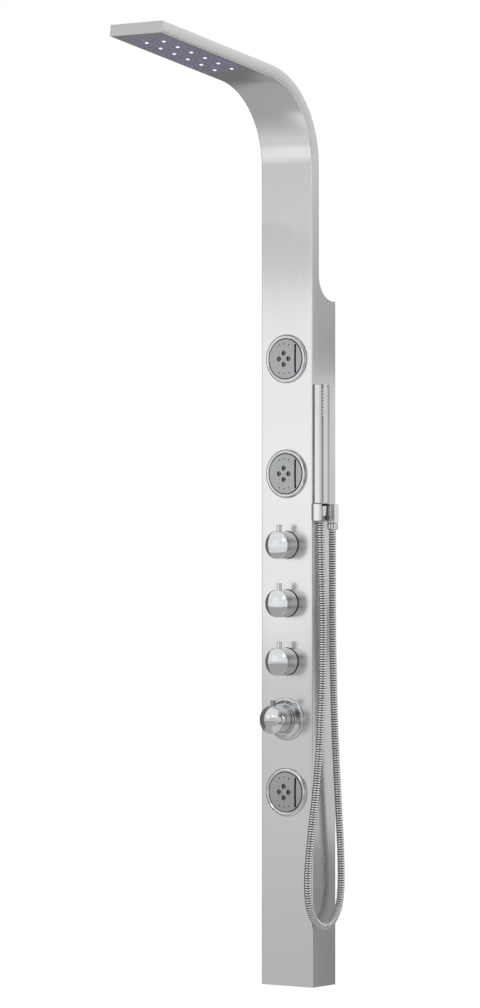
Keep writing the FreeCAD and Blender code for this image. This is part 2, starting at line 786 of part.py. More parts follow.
def arm_block(x_low, x_high, start, end, top, bottom):
    """A block in the arm between two places along it and two depths below its top."""
    length = float(end - start)
    block = Part.makeBox(float(x_high - x_low), length, float(bottom - top))
    y, z = on_arm(start, bottom)
    turn = FreeCAD.Rotation(FreeCAD.Vector(-1, 0, 0), float(S.arm_slope))
    block.Placement = FreeCAD.Placement(
        FreeCAD.Vector(float(x_low), float(y), float(z)), turn)
    return block


chamber_end = S.chamber_start + S.chamber_length
mat_bottom = S.thin_depth - S.sheet_thick
mat_top = mat_bottom - S.mat_thick
hose_depth = S.thin_depth / 2


def rain_chamber():
    """Moulded chamber, open downwards on the mat, with a solid rib over each light board."""
    half = S.chamber_width / 2
    wall = S.chamber_wall
    outer = arm_block(-half, half, S.chamber_start, chamber_end, S.sheet_thick, mat_top)
    cavity = arm_block(wall - half, half - wall, S.chamber_start + wall, chamber_end - wall,
                       S.sheet_thick + wall, mat_top + wall)
    ribs = [arm_block(sign * S.light_offset - S.chamber_rib / 2,
                      sign * S.light_offset + S.chamber_rib / 2,
                      S.chamber_start + S.rib_margin, chamber_end - S.rib_margin,
                      S.sheet_thick, mat_top) for sign in (-1, 1)]
    y, z = on_arm(chamber_end - 2 * wall, hose_depth)
    direction = FreeCAD.Vector(0, float(rise_cos), -float(rise_sin))
    foot = FreeCAD.Vector(-float(S.rain_port_offset), float(y), float(z))
    port = Part.makeCylinder(float(S.pipe_bore), float(3 * wall), foot, direction)
    keep("rain_chamber", shaped("chamber_form", outer.cut(cavity).fuse(ribs).cut(port)))


def board_blocks(margin):
    """The two light boards, or with a margin the slots that they lie in."""
    half = S.board_width / 2 + margin
    start = S.light_first - S.light_pitch / 3 - margin
    end = chamber_end + S.board_tail + margin
    return [arm_block(sign * S.light_offset - half, sign * S.light_offset + half,
                      start, end, mat_top, mat_bottom) for sign in (-1, 1)]


def rain_nozzles():
    """Silicone mat with its nozzles, which pass through the sheet."""
    half = S.chamber_width / 2
    mat = arm_block(-half, half, S.chamber_start, chamber_end, mat_top, mat_bottom)
    low = S.thin_depth + S.nozzle_drop
    stems = [arm_bar(x, along, mat_top, low, S.nozzle_radius) for x, along in nozzle_places()]
    bores = [arm_bar(x, along, mat_top - 1, low + 1, S.nozzle_orifice)
             for x, along in nozzle_places()]
    solid = mat.cut(board_blocks(S.fit_gap)).fuse(stems).cut(bores)
    keep("rain_nozzles", shaped("nozzle_mat_form", solid))


def lights():
    """Two light boards on the sheet, and the clear lenses that pass through it."""
    keep("light_boards", shaped("light_board_form", Part.makeCompound(board_blocks(0))))
    lenses = []
    for x, along in light_places():
        stem = arm_bar(x, along, mat_bottom, S.thin_depth, S.light_radius)
        cap_radius = float(dome_radius(S.light_radius, S.light_drop))
        y, z = on_arm(along, S.thin_depth + S.light_drop - cap_radius)
        ball = Part.makeSphere(cap_radius, FreeCAD.Vector(x, float(y), float(z)))
        below = arm_bar(x, along, S.thin_depth, S.thin_depth + 2 * S.light_drop, S.light_radius)
        lenses.append(stem.fuse(ball.common(below)).removeSplitter())
    keep("light_lenses", shaped("light_lens_form", Part.makeCompound(lenses)))


# ---------------------------------------------------------------- jets

socket_bore = S.ball_radius + 2 * S.ball_gap + S.seat_wall
socket_radius = socket_bore + S.socket_wall
ball_front_radius = root(S.ball_radius * S.ball_radius - S.ball_front * S.ball_front)
ball_back_radius = root(S.ball_radius * S.ball_radius - S.ball_back * S.ball_back)


def jet(number, height):
    """Bezel, socket, seat ring and swivelling face of one jet. Y runs inwards from the
    front face, and the ball centre is the pivot."""
    at = (0, front, height)
    pivot = S.ball_pivot
    seat_sphere = S.ball_radius + S.ball_gap
    lip_back = S.bezel_lip_depth - S.bezel_rise
    round_start = S.bezel_radius - S.bezel_round
    round_end = S.bezel_round - S.bezel_rise
    keep(f"jet_bezel_{number}", turned(f"jet_bezel_{number}", [
        (S.bezel_bore, lip_back),
        (S.bezel_bore, -S.bezel_rise + S.sheet_thick),
        (round_start, -S.bezel_rise, S.bezel_round, round_start, round_end),
        (S.bezel_radius, round_end),
        (S.bezel_radius, 0),
        (socket_radius + S.fit_gap, 0),
        (socket_radius + S.fit_gap, lip_back),
    ], at))
    seat_start = pivot - S.seat_front
    seat_end = pivot + S.seat_back
    seat_start_r = root(seat_sphere * seat_sphere - S.seat_front * S.seat_front)
    seat_end_r = root(seat_sphere * seat_sphere - S.seat_back * S.seat_back)
    seat_outer = seat_sphere + S.seat_wall
    keep(f"jet_seat_{number}", turned(f"jet_seat_{number}", [
        (seat_start_r, seat_start, seat_sphere, 0, pivot),
        (seat_end_r, seat_end),
        (seat_outer, seat_end),
        (seat_outer, seat_start),
    ], at))
    shoulder = seat_end + S.ball_gap
    chamber_radius = seat_end_r + S.ball_gap
    chamber_back = pivot + S.socket_chamber
    rear = chamber_back + S.socket_back
    stub_end = S.box_depth - S.stub_end
    keep(f"jet_socket_{number}", turned(f"jet_socket_{number}", [
        (socket_bore, lip_back + S.ball_gap),
        (socket_bore, shoulder),
        (chamber_radius, shoulder),
        (chamber_radius, chamber_back),
        (S.pipe_bore, chamber_back),
        (S.pipe_bore, stub_end),
        (S.stub_radius, stub_end),
        (S.stub_radius, rear),
        (chamber_radius + S.socket_wall, rear),
        (chamber_radius + S.socket_wall, shoulder + S.socket_wall),
        (socket_radius, shoulder + S.socket_wall),
        (socket_radius, lip_back + S.ball_gap),
    ], at))
    jet_face(number, at)


def jet_face(number, at):
    """Swivelling ball, open behind, with its sprays and finger slot."""
    face_y = S.ball_pivot - S.ball_front
    apex = face_y - S.ball_dome
    crown = dome_radius(ball_front_radius, S.ball_dome)
    back = S.ball_pivot + S.ball_back
    inside = ball_back_radius - S.ball_wall
    wall_back = face_y + S.face_thick
    body = turned(f"jet_face_{number}", [
        (0, apex, crown, 0, apex + crown),
        (ball_front_radius, face_y, S.ball_radius, 0, S.ball_pivot),
        (ball_back_radius, back),
        (inside, back),
        (inside, wall_back),
        (0, wall_back),
    ], at)
    through = sketch_on(body, f"jet_sprays_{number}", "XZ_Plane")
    recess = sketch_on(body, f"jet_recess_{number}", "XZ_Plane", -face_y)
    centre = -S.spray_offset
    for across, up in ((1, 0), (-1, 0), (0, 1), (0, -1)):
        u = centre + across * S.spray_ring
        v = up * S.spray_ring
        circle(through, S.spray_hole, u, v)
        circle(recess, S.spray_recess, u, v)
    for turn in (-22.5, 0, 22.5):
        for up in (1, -1):
            circle(through, S.fine_hole, centre + S.fine_ring * sine(turn),
                   up * S.fine_ring * cosine(turn))
    for across in (1, -1):
        for up in (1, -1):
            circle(through, S.fine_hole / 2, centre + across * S.spray_ring,
                   up * S.spray_ring)
    slot_low = S.slot_offset - S.slot_width / 2
    slot_high = S.slot_offset + S.slot_width / 2
    half = S.slot_length / 2
    outline(recess, [(slot_low, -half), (slot_high, -half), (slot_high, half), (slot_low, half)])
    pocket(body, recess, 2 * S.spray_recess_depth)
    pocket(body, through)
    keep(f"jet_face_{number}", body)


def jet_locknuts(heights):
    """Rings that clamp the sockets behind the sheet."""
    rings = [ring(f"jet_locknut_form_{number}", socket_radius + S.fit_gap, S.locknut_radius,
                  S.sheet_thick, S.sheet_thick + S.locknut_thick, (0, front, height))
             for number, height in enumerate(heights, start=1)]
    keep("jet_locknuts", fused("jet_locknut_group", rings))


# ---------------------------------------------------------------- knobs

knob_heights = [S.knob_top_height - number * S.knob_pitch for number in range(3)]


def knob(number, height):
    """Domed knob with its lever pin and spindle."""
    at = (0, front, height)
    crown = dome_radius(S.knob_radius, S.knob_dome)
    apex = -S.knob_length - S.knob_dome
    bore = S.spindle_radius + S.running_fit
    floor = -S.knob_gap - S.knob_recess_depth
    bore_end = -S.spindle_out - S.hook_clearance
    form = turned(f"knob_form_{number}", [
        (0, apex, crown, 0, apex + crown),
        (S.knob_radius, -S.knob_length),
        (S.knob_radius, -S.knob_gap),
        (S.knob_recess, -S.knob_gap),
        (S.knob_recess, floor),
        (bore, floor),
        (bore, bore_end),
        (0, bore_end),
    ], at)
    pin_at = (0, front - S.pin_out, height + S.pin_root)
    length = S.knob_radius - S.pin_root + S.pin_rise
    hole = rod(f"pin_hole_{number}", S.pin_radius + S.running_fit, length, pin_at)
    keep(f"knob_{number}", cut(f"knob_cut_{number}", form, hole))
    chamfer = S.pin_radius / 8
    keep(f"lever_pin_{number}", turned(f"lever_pin_{number}", [
        (0, 0), (S.pin_radius, 0), (S.pin_radius, length - chamfer),
        (S.pin_radius - chamfer, length), (0, length),
    ], pin_at, upright=True))
    keep(f"spindle_{number}", ring(f"spindle_{number}", 0, S.spindle_radius,
                                   -S.spindle_out, S.spindle_inside, at))


def stop_cartridges():
    """Ceramic stop cartridges in the manifold, and the black collars that clamp them."""
    bodies = []
    collars = []
    bore = S.spindle_radius + S.running_fit
    bore_end = S.spindle_inside + S.hook_clearance
    for number, height in enumerate(knob_heights, start=1):
        at = (0, front, height)
        bodies.append(turned(f"cartridge_form_{number}", [
            (0, S.cartridge_inside), (S.cartridge_radius, S.cartridge_inside),
            (S.cartridge_radius, -S.cartridge_out), (bore, -S.cartridge_out),
            (bore, bore_end), (0, bore_end),
        ], at))
        collars.append(turned(f"collar_form_{number}", [
            (S.cartridge_radius + S.fit_gap, 0), (S.collar_rim_radius, 0),
            (S.collar_rim_radius, -S.collar_rim_thick), (S.collar_radius, -S.collar_rim_thick),
            (S.collar_radius, -S.collar_thick),
            (S.cartridge_radius + S.fit_gap, -S.collar_thick),
        ], at))
    keep("stop_cartridges", fused("cartridge_group", bodies))
    keep("knob_collars", fused("collar_group", collars))


# ---------------------------------------------------------------- thermostat

def thermostat():
    """Thermostat knob, safety button and spring, flange, scale ring, cartridge, spindle."""
    height = S.thermostat_height
    at = (0, front, height)
    crown = dome_radius(S.thermo_radius, S.thermo_dome)
    apex = -S.thermo_length - S.thermo_dome
    bore = S.thermo_spindle_radius + S.running_fit
    floor = -S.thermo_back - S.thermo_recess_depth
    bore_end = -S.thermo_spindle_out - S.hook_clearance
    form = turned("thermo_form", [
        (0, apex, crown, 0, apex + crown),
        (S.thermo_radius, -S.thermo_length),
        (S.thermo_radius, -S.thermo_back),
        (S.thermo_recess, -S.thermo_back),
        (S.thermo_recess, floor),
        (bore, floor),
        (bore, bore_end),
        (0, bore_end),
    ], at)
    centre = front - S.button_out
    half_x = S.button_width / 2
    half_y = S.button_depth / 2
    gap = S.button_clearance
    foot = height + S.button_root
    well_floor = foot - S.spring_length
    well = box("button_well", (-half_x - gap, centre - half_y - gap, well_floor),
               (half_x + gap, centre + half_y + gap, height + S.thermo_radius + S.button_rise))
    keep("thermostat_knob", cut("thermo_cut", form, well))
    keep("safety_button", box("safety_button", (-half_x, centre - half_y, foot),
                              (half_x, centre + half_y,
                               height + S.thermo_radius + S.button_rise)))
    keep("button_spring", ring("button_spring", S.spring_radius - S.spring_wire,
                               S.spring_radius, 0, S.spring_length,
                               (0, centre, well_floor), upright=True))
    hub = S.thermo_neck_radius + S.fit_gap
    hole = S.thermo_cartridge_radius + 2 * S.fit_gap
    inner = S.neck_radius - S.neck_wall
    edge = S.flange_thick / 2
    plate = S.sheet_thick
    keep("thermostat_flange", turned("thermostat_flange", [
        (hole, 0),
        (S.flange_radius, 0),
        (S.flange_radius, -edge, edge, S.flange_radius - edge, -edge),
        (S.flange_radius - edge, -S.flange_thick),
        (S.neck_radius, -S.flange_thick),
        (S.neck_radius, -S.neck_length),
        (inner, -S.neck_length),
        (inner, -S.flange_thick - plate),
        (hub, -S.flange_thick - plate),
        (hub, -plate),
        (hole, -plate),
    ], at))
    scale_start = -S.flange_thick
    keep("scale_ring", turned("scale_ring", [
        (S.neck_radius + S.running_fit, scale_start),
        (S.scale_radius, scale_start),
        (S.scale_radius, scale_start - S.scale_rim),
        (S.scale_front, scale_start - S.scale_length),
        (S.neck_radius + S.running_fit, scale_start - S.scale_length),
    ], at))
    spindle_end = S.thermo_spindle_inside + S.hook_clearance
    keep("thermostat_cartridge", turned("thermostat_cartridge", [
        (0, S.cartridge_inside),
        (S.thermo_cartridge_radius, S.cartridge_inside),
        (S.thermo_cartridge_radius, -plate),
        (S.thermo_neck_radius, -plate),
        (S.thermo_neck_radius, -S.thermo_neck_out),
        (bore, -S.thermo_neck_out),
        (bore, spindle_end),
        (0, spindle_end),
    ], at))
    keep("thermostat_spindle", ring("thermostat_spindle", 0, S.thermo_spindle_radius,
                                    -S.thermo_spindle_out, S.thermo_spindle_inside, at))


# ---------------------------------------------------------------- manifold and pipes

manifold_top = S.knob_top_height + S.manifold_over
manifold_bottom = S.thermostat_height - S.manifold_under


def valve_manifold():
    """Brass bar with a boss for each cartridge, a head with ports and a foot for inlets."""
    low_y = -S.manifold_front
    high_y = -S.manifold_back
    head_left = -S.rain_port_offset - S.generator_radius
    head_right = S.outlet_port_offset + S.stub_radius
    solids = [
        box("manifold_bar", (-S.manifold_half, low_y, manifold_bottom),
            (S.manifold_half, high_y, manifold_top)),
        box("manifold_head", (head_left, low_y, manifold_top - S.head_height),
            (head_right, high_y, manifold_top)),
        box("manifold_foot", (-S.foot_half, low_y, manifold_bottom),
            (S.foot_half, high_y, manifold_bottom + S.foot_height)),
    ]
    tools = []
    inner_face = S.box_depth - S.sheet_thick
    seat_depth = S.cartridge_inside - S.sheet_thick
    sockets = [(S.boss_radius, S.cartridge_radius, height) for height in knob_heights]
    sockets.append((S.thermo_boss_radius, S.thermo_cartridge_radius, S.thermostat_height))
    for number, (outer, inner, height) in enumerate(sockets, start=1):
        solids.append(rod(f"manifold_boss_{number}", outer, inner_face - S.manifold_front,
                          (0, low_y, height), ALONG_FRONT))
        tools.append(rod(f"manifold_seat_{number}", inner + S.fit_gap, seat_depth,
                         (0, -inner_face + seat_depth, height), ALONG_FRONT))
    tools.append(rod("manifold_waterway", S.pipe_bore, manifold_top - manifold_bottom,
                     (0, -S.jet_pipe_back, manifold_bottom)))
    for name, x, back in (("rain", -S.rain_port_offset, S.rain_port_back),
                          ("outlet", S.outlet_port_offset, S.box_depth / 2)):
        tools.append(rod(f"manifold_{name}_port", S.pipe_bore, S.head_height - S.port_floor,
                         (x, -back, manifold_top - S.head_height + S.port_floor)))
    for sign in (-1, 1):
        tools.append(rod(f"manifold_inlet_{sign + 2}", S.inlet_bore,
                         S.foot_height - S.port_floor,
                         (sign * S.inlet_offset, (low_y + high_y) / 2, manifold_bottom)))
    block = fused("manifold_blank", solids)
    keep("valve_manifold", cut("manifold_cut", block, fused("manifold_bores", tools)))
    nipples = [ring(f"inlet_form_{sign + 2}", S.inlet_bore, S.inlet_radius,
                    -S.inlet_length, 0,
                    (sign * S.inlet_offset, (low_y + high_y) / 2, manifold_bottom),
                    upright=True) for sign in (-1, 1)]
    keep("inlet_nipples", fused("inlet_group", nipples))


def vector(x, y, z):
    return FreeCAD.Vector(float(x), float(y), float(z))


def rising_path(x, y_low, z_low, below, end_along):
    """A path up inside the column: straight up, a forward shift of two equal arcs, straight
    up the thin column, round the curve and down the arm, below its top face by a depth."""
    y_high = thin_back - below
    shift = float(y_low - y_high)
    rise = float(S.shift_length)
    bend = (rise * rise + shift * shift) / (4 * shift)
    turn = math.asin(rise / 2 / bend)
    low = float(S.shift_start)
    middle = vector(x, float(y_low) - shift / 2, low + rise / 2)
    first_mid = vector(x, float(y_low) - bend * (1 - math.cos(turn / 2)),
                       low + bend * math.sin(turn / 2))
    second_mid = vector(x, float(y_high) + bend * (1 - math.cos(turn / 2)),
                        low + rise - bend * math.sin(turn / 2))
    radius = float(S.curve_radius - below)
    sweep = math.radians(90 - float(S.arm_slope))
    curve_mid = vector(x, float(curve_y) + radius * math.cos(sweep / 2),
                       float(S.curve_start) + radius * math.sin(sweep / 2))
    curve_top = vector(x, *on_curve(S.curve_radius - below))
    stops = [vector(x, y_low, z_low), vector(x, y_low, low), middle,
             vector(x, y_high, low + rise), vector(x, y_high, S.curve_start), curve_top,
             vector(x, *on_arm(end_along, below))]
    edges = [
        Part.LineSegment(stops[0], stops[1]),
        Part.Arc(stops[1], first_mid, stops[2]),
        Part.Arc(stops[2], second_mid, stops[3]),
        Part.LineSegment(stops[3], stops[4]),
        Part.Arc(stops[4], curve_mid, stops[5]),
        Part.LineSegment(stops[5], stops[6]),
    ]
    return Part.Wire([edge.toShape() for edge in edges])


def inner_pipes():
    """Pipes from the manifold to rain head, jets and outlet, and the light cable."""
    generator_top = manifold_top + S.generator_length
    keep("water_generator", ring("water_generator", S.pipe_bore, S.generator_radius, 0,
                                 S.generator_length,
                                 (-S.rain_port_offset, -S.rain_port_back, manifold_top),
                                 upright=True))
    path = rising_path(-S.rain_port_offset, -S.rain_port_back, generator_top, hose_depth,
                       chamber_end)
    keep("rain_pipe", shaped("rain_pipe_form",
                             tube(path, S.pipe_radius).cut(tube(path, S.pipe_bore))))
    cable_path = rising_path(-S.cable_offset, -S.rain_port_back, generator_top,
                             mat_top - S.cable_radius, chamber_end + S.board_tail / 4)
    keep("light_cable", shaped("light_cable_form", tube(cable_path, S.cable_radius)))

    bend = float(S.pipe_bend)
    jet_y = -S.jet_pipe_back
    stub_y = -S.stub_end
    foot = vector(0, jet_y, manifold_top)
    corner = vector(0, jet_y, S.jet_top_height)
    end = vector(0, stub_y, S.jet_top_height)
    tee_at = vector(0, jet_y, S.jet_middle_height)
    reach = float(S.stub_end - S.jet_pipe_back)
    towards = FreeCAD.Vector(0, -1, 0)
    bars = []
    for radius, branch in ((S.pipe_radius, S.branch_radius), (S.pipe_bore, S.branch_bore)):
        bar = elbow_bar(foot, corner, end, bend, float(radius))
        bars.append(bar.fuse(Part.makeCylinder(float(branch), reach, tee_at, towards)))
    keep("upper_jet_pipe", shaped("upper_jet_pipe_form", bars[0].cut(bars[1])))
    low = S.jet_low_height
    keep("lower_jet_pipe", elbow_pipe("lower_jet_pipe_form", vector(0, jet_y, manifold_bottom),
                                      vector(0, jet_y, low), vector(0, stub_y, low), bend))
    outlet_y = front / 2
    keep("outlet_pipe", elbow_pipe(
        "outlet_pipe_form", vector(S.outlet_port_offset, outlet_y, manifold_top),
        vector(S.outlet_port_offset, outlet_y, S.outlet_height),
        vector(side - S.spigot_length, outlet_y, S.outlet_height), bend))


# ---------------------------------------------------------------- outlet block and holder

block_low = S.outlet_height - S.block_height / 2
block_high = S.outlet_height + S.block_height / 2
holder_x = side + S.holder_out
holder_y = front + S.holder_back
nipple_y = front / 2
collar_low = block_low - S.outlet_collar_height


def holder_slot(label):
    """The tool for the slot that lets the hose into the holder ring."""
    slot = doc.addObject("Part::Box", label)
    bind(slot, "Length", 2 * S.holder_radius)
    bind(slot, "Width", S.holder_slot)
    bind(slot, "Height", 2 * S.block_height)
    turn = S.holder_slot_turn
    return place(slot, (holder_x - S.holder_slot / 2 * sine(turn),
                        holder_y - S.holder_slot / 2 * cosine(turn),
                        block_low - S.block_height / 2), (0, 0, -1), turn)


def outlet():
    """Block with the hose outlet, the holder ring on its arm, gasket, locknut and bush."""
    low_y = nipple_y - S.block_thick / 2
    high_y = nipple_y + S.block_thick / 2
    block_start = side + S.gasket_thick
    solids = [
        box("outlet_body", (block_start, low_y, block_low),
            (side + S.block_reach, high_y, block_high)),
        box("holder_arm", (side + S.neck_start, holder_y + S.holder_radius / 3, block_low),
            (side + S.neck_end, low_y + S.fit_gap, block_high)),
        rod("holder_barrel", S.holder_radius, S.block_height, (holder_x, holder_y, block_low)),
        rod("outlet_collar", S.outlet_collar_radius, S.outlet_collar_height,
            (holder_x, nipple_y, collar_low)),
        rod("outlet_nipple", S.nipple_radius, S.nipple_length + S.outlet_collar_height,
            (holder_x, nipple_y, collar_low - S.nipple_length)),
        rod("outlet_spigot", S.spigot_radius, S.spigot_length + 2 * S.gasket_thick,
            (side - S.spigot_length, nipple_y, S.outlet_height), ALONG_RIGHT),
    ]
    tools = [
        rod("holder_hole", S.holder_bore, 2 * S.block_height,
            (holder_x, holder_y, block_low - S.block_height / 2)),
        holder_slot("holder_slot"),
        rod("outlet_drop", S.spigot_bore,
            S.outlet_height - collar_low + S.nipple_length,
            (holder_x, nipple_y, collar_low - S.nipple_length)),
        rod("outlet_way", S.spigot_bore, S.spigot_length + S.holder_out,
            (side - S.spigot_length, nipple_y, S.outlet_height), ALONG_RIGHT),
    ]
    keep("outlet_block", cut("outlet_cut", fused("outlet_blank", solids),
                             fused("outlet_tools", tools)))
    plate = box("gasket_plate", (side, low_y, block_low), (block_start, high_y, block_high))
    hole = rod("gasket_hole", S.spigot_radius + S.fit_gap, 3 * S.gasket_thick,
               (side - S.gasket_thick, nipple_y, S.outlet_height), ALONG_RIGHT)
    keep("outlet_gasket", cut("gasket_cut", plate, hole))
    inner_wall = side - S.sheet_thick
    nut = rod("outlet_nut_blank", S.outlet_nut_radius, S.outlet_nut_thick,
              (inner_wall - S.outlet_nut_thick, nipple_y, S.outlet_height), ALONG_RIGHT)
    bore = rod("outlet_nut_bore", S.spigot_radius + S.fit_gap, 2 * S.outlet_nut_thick,
               (inner_wall - 1.5 * S.outlet_nut_thick, nipple_y, S.outlet_height), ALONG_RIGHT)
    keep("outlet_locknut", cut("outlet_nut_cut", nut, bore))


# heights of the fittings between holder and handset
sleeve_low = block_low
cone_low = sleeve_low + S.sleeve_height
cone_high = cone_low + S.cone_height
handset_low = cone_high + S.washer_height
handset_high = handset_low + S.handset_length


def holder_bush():
    """Tapered plastic liner of the holder ring, slotted like the ring."""
    taper = (S.cone_top_radius - S.cone_bottom_radius) / S.cone_height
    outer = S.holder_bore - S.fit_gap
    low_radius = S.cone_bottom_radius + S.seat_clearance + taper * (block_low - cone_low)
    high_radius = S.cone_bottom_radius + S.seat_clearance + taper * (block_high - cone_low)
    liner = turned("bush_form", [
        (low_radius, 0), (outer, 0), (outer, S.block_height), (high_radius, S.block_height),
    ], (holder_x, holder_y, block_low), upright=True)
    keep("holder_bush", cut("bush_cut", liner, holder_slot("bush_slot")))


def hose_fittings():
    """Nut at the outlet, conical nut and strain sleeve at the handset, rubber ring."""
    bore = S.nipple_radius + S.fit_gap
    keep("hose_nut", turned("hose_nut", [
        (S.hose_bore, -S.hose_nut_height),
        (S.hose_nut_end, -S.hose_nut_height),
        (S.hose_nut_radius, S.hose_nut_shoulder - S.hose_nut_height),
        (S.hose_nut_radius, -S.hose_nut_shoulder),
        (S.hose_nut_end, 0),
        (bore, 0),
        (bore, S.hose_nut_floor - S.hose_nut_height),
        (S.hose_bore, S.hose_nut_floor - S.hose_nut_height),
    ], (holder_x, nipple_y, collar_low), upright=True))
    thread = S.handset_thread + S.running_fit
    at = (holder_x, holder_y, cone_low)
    keep("hose_cone_nut", turned("hose_cone_nut", [
        (S.hose_bore, 0),
        (S.cone_bottom_radius, 0),
        (S.cone_top_radius, S.cone_height),
        (thread, S.cone_height),
        (thread, S.cone_height - S.cone_thread_depth),
        (S.hose_bore, S.cone_height - S.cone_thread_depth),
    ], at, upright=True))
    keep("hose_sleeve", ring("hose_sleeve", S.hose_bore, S.sleeve_radius,
                             -S.sleeve_height, 0, at, upright=True))
    keep("handset_washer", ring("handset_washer", S.handset_thread + S.running_fit,
                                S.washer_radius, S.running_fit, S.washer_height,
                                (holder_x, holder_y, cone_high), upright=True))


# ---------------------------------------------------------------- handset

def spray_places():
    """Every handset nozzle as (angle from -Y towards +X in degrees, height)."""
    for sign in (-1, 1):
        angle = float(S.handset_spray_turn) + sign * float(S.handset_spray_spread)
        for row in range(HANDSET_ROWS):
            drop = float(S.handset_spray_first) + row * float(S.handset_spray_pitch)
            yield angle, float(handset_high) - drop


def spray_bar(angle, height, start, end, radius):
    """A round bar square to the handset axis, between two distances from that axis."""
    direction = FreeCAD.Vector(math.sin(math.radians(angle)), -math.cos(math.radians(angle)), 0)
    foot = vector(holder_x, holder_y, height) + direction * float(start)
    return Part.makeCylinder(float(radius), float(end - start), foot, direction)


def handset():
    """Hollow stick handset with a threaded foot and rows of small nozzles."""
    radius = S.handset_radius
    inside = radius - S.handset_wall
    soft = S.handset_rounding
    thread_low = S.cone_thread_depth - S.hook_clearance + S.washer_height
    length = S.handset_length
    body = turned("handset_form", [
        (S.hose_bore, -thread_low),
        (S.handset_thread, -thread_low),
        (S.handset_thread, 0),
        (radius - soft, 0, soft, radius - soft, soft),
        (radius, soft),
        (radius, length - soft, soft, radius - soft, length - soft),
        (radius - soft, length),
        (0, length),
        (0, length - 2 * S.handset_wall),
        (inside, length - 2 * S.handset_wall),
        (inside, 3 * S.handset_wall),
        (S.hose_bore, 3 * S.handset_wall),
    ], (holder_x, holder_y, handset_low), upright=True)
    holes = [spray_bar(angle, height, inside - 1, radius + 1, S.handset_spray_radius)
             for angle, height in spray_places()]
    tool = shaped("handset_spray_bars", Part.makeCompound(holes))
    keep("handset_body", cut("handset_cut", body, tool))
    nozzles = [spray_bar(angle, height, inside, radius + S.handset_spray_out,
                         S.handset_spray_radius - S.running_fit)
               for angle, height in spray_places()]
    keep("handset_nozzles", shaped("handset_nozzle_form", Part.makeCompound(nozzles)))


# ---------------------------------------------------------------- hose

def hose_route():
    """The hose's corner points in Y and Z, from the outlet nut round to the strain sleeve."""
    nut_low = float(collar_low - S.hose_nut_height)
    start_y = float(nipple_y)
    end_y = float(holder_y)
    return [
        (start_y, nut_low), (start_y, 660), (-32.0, 560), (-28.5, 460), (-24.0, 385),
        (-15.5, 290), (-7.6, 205), (-8.0, 143.8), (-20.6, 115), (-42.4, 98.4),
        (-67.6, 98.4), (-89.4, 115), (-102.0, 143.8), (-102.6, 190), (-91.5, 255),
        (-77.0, 325), (-67.0, 400), (-60.0, 500), (-58.5, 600), (end_y, 690),
        (end_y, float(sleeve_low)),
    ]


def hose_bends(points):
    """As large a bend at each inner point as its two runs allow."""
    bends = []
    for before, here, after in zip(points, points[1:], points[2:]):
        back = before - here
        ahead = after - here
        half_turn = (math.pi - back.getAngle(ahead)) / 2
        bends.append(0.45 * min(back.Length, ahead.Length) / math.tan(half_turn))
    return bends


def shower_hose():
    """Ribbed metal hose with its bore: rings of four circles along the route."""
    points = [vector(holder_x, y, z) for y, z in hose_route()]
    bends = hose_bends(points)
    print("hose bend radii", [round(bend) for bend in bends])
    path = bent_path(points, bends)
    length = path.Length
    diameter = 2 * float(S.hose_radius)
    crest = float(S.hose_radius)
    groove = crest - float(S.hose_groove)
    pitch = (length - 2 * diameter) / HOSE_RIBS
    stations = [(0, crest), (diameter, crest)]
    for number in range(HOSE_RIBS):
        start = diameter + number * pitch
        stations.append((start + 0.10 * pitch, groove))
        stations.append((start + 0.30 * pitch, groove))
        stations.append((start + 0.45 * pitch, crest))
        stations.append((start + 0.95 * pitch, crest))
    stations += [(length - diameter, crest), (length, crest)]
    outer = Part.makeLoft([ring_at(path, place_on, size) for place_on, size in stations],
                          True, True)
    bore_steps = [length * step / (2 * HOSE_RIBS) for step in range(2 * HOSE_RIBS + 1)]
    inner = Part.makeLoft([ring_at(path, step, float(S.hose_bore)) for step in bore_steps],
                          True, True)
    solid = outer.cut(inner)
    print("hose length", round(length, 1), "volume", round(solid.Volume))
    keep("shower_hose", shaped("shower_hose_form", solid))


def ring_at(path, distance, radius):
    """A circle square to the path at a distance along it, its seam on the X axis."""
    remaining = distance
    for edge in path.OrderedEdges:
        if remaining <= edge.Length + 1e-9:
            break
        remaining -= edge.Length
    parameter = edge.getParameterByLength(min(remaining, edge.Length))
    centre = edge.valueAt(parameter)
    tangent = edge.tangentAt(parameter)
    across = FreeCAD.Vector(1, 0, 0)
    turn = FreeCAD.Rotation(across, tangent.cross(across), tangent, "ZXY")
    loop = Part.Circle(FreeCAD.Vector(), FreeCAD.Vector(0, 0, 1), radius).toShape()
    loop.Placement = FreeCAD.Placement(centre, turn)
    return Part.Wire([loop])


# ---------------------------------------------------------------- assembly

column_shell()
back_cover()
for end, bracket_foot in (("upper", S.upper_bracket_height), ("lower", S.lower_bracket_height)):
    wall_bracket(f"{end}_wall_bracket", bracket_foot)
    hanger(f"{end}_hanger", bracket_foot)
rain_chamber()
rain_nozzles()
lights()
jet_heights = [S.jet_top_height, S.jet_middle_height, S.jet_low_height]
for jet_number, jet_height in enumerate(jet_heights, start=1):
    jet(jet_number, jet_height)
jet_locknuts(jet_heights)
for knob_number, knob_height in enumerate(knob_heights, start=1):
    knob(knob_number, knob_height)
stop_cartridges()
thermostat()
valve_manifold()
inner_pipes()
outlet()
holder_bush()
hose_fittings()
handset()
shower_hose()
doc.recompute()

for feature in doc.Objects:
    if "Invalid" in feature.State or "Error" in feature.State:
        raise RuntimeError(f"{feature.Label} failed: {feature.State}")
for label, feature in pieces.items():
    if feature.Shape.isNull() or not feature.Shape.isValid():
        raise RuntimeError(f"{label} has no valid shape")

os.makedirs("parts", exist_ok=True)
for label, feature in pieces.items():
    feature.Shape.exportStep(f"parts/{label}.step")
    print(label, len(feature.Shape.Solids), round(feature.Shape.Volume, 1))
print(len(pieces), "sub-parts")
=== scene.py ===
"""Looks of the shower panel column: brushed steel, chrome trim, ribbed hose and rain head."""
import math

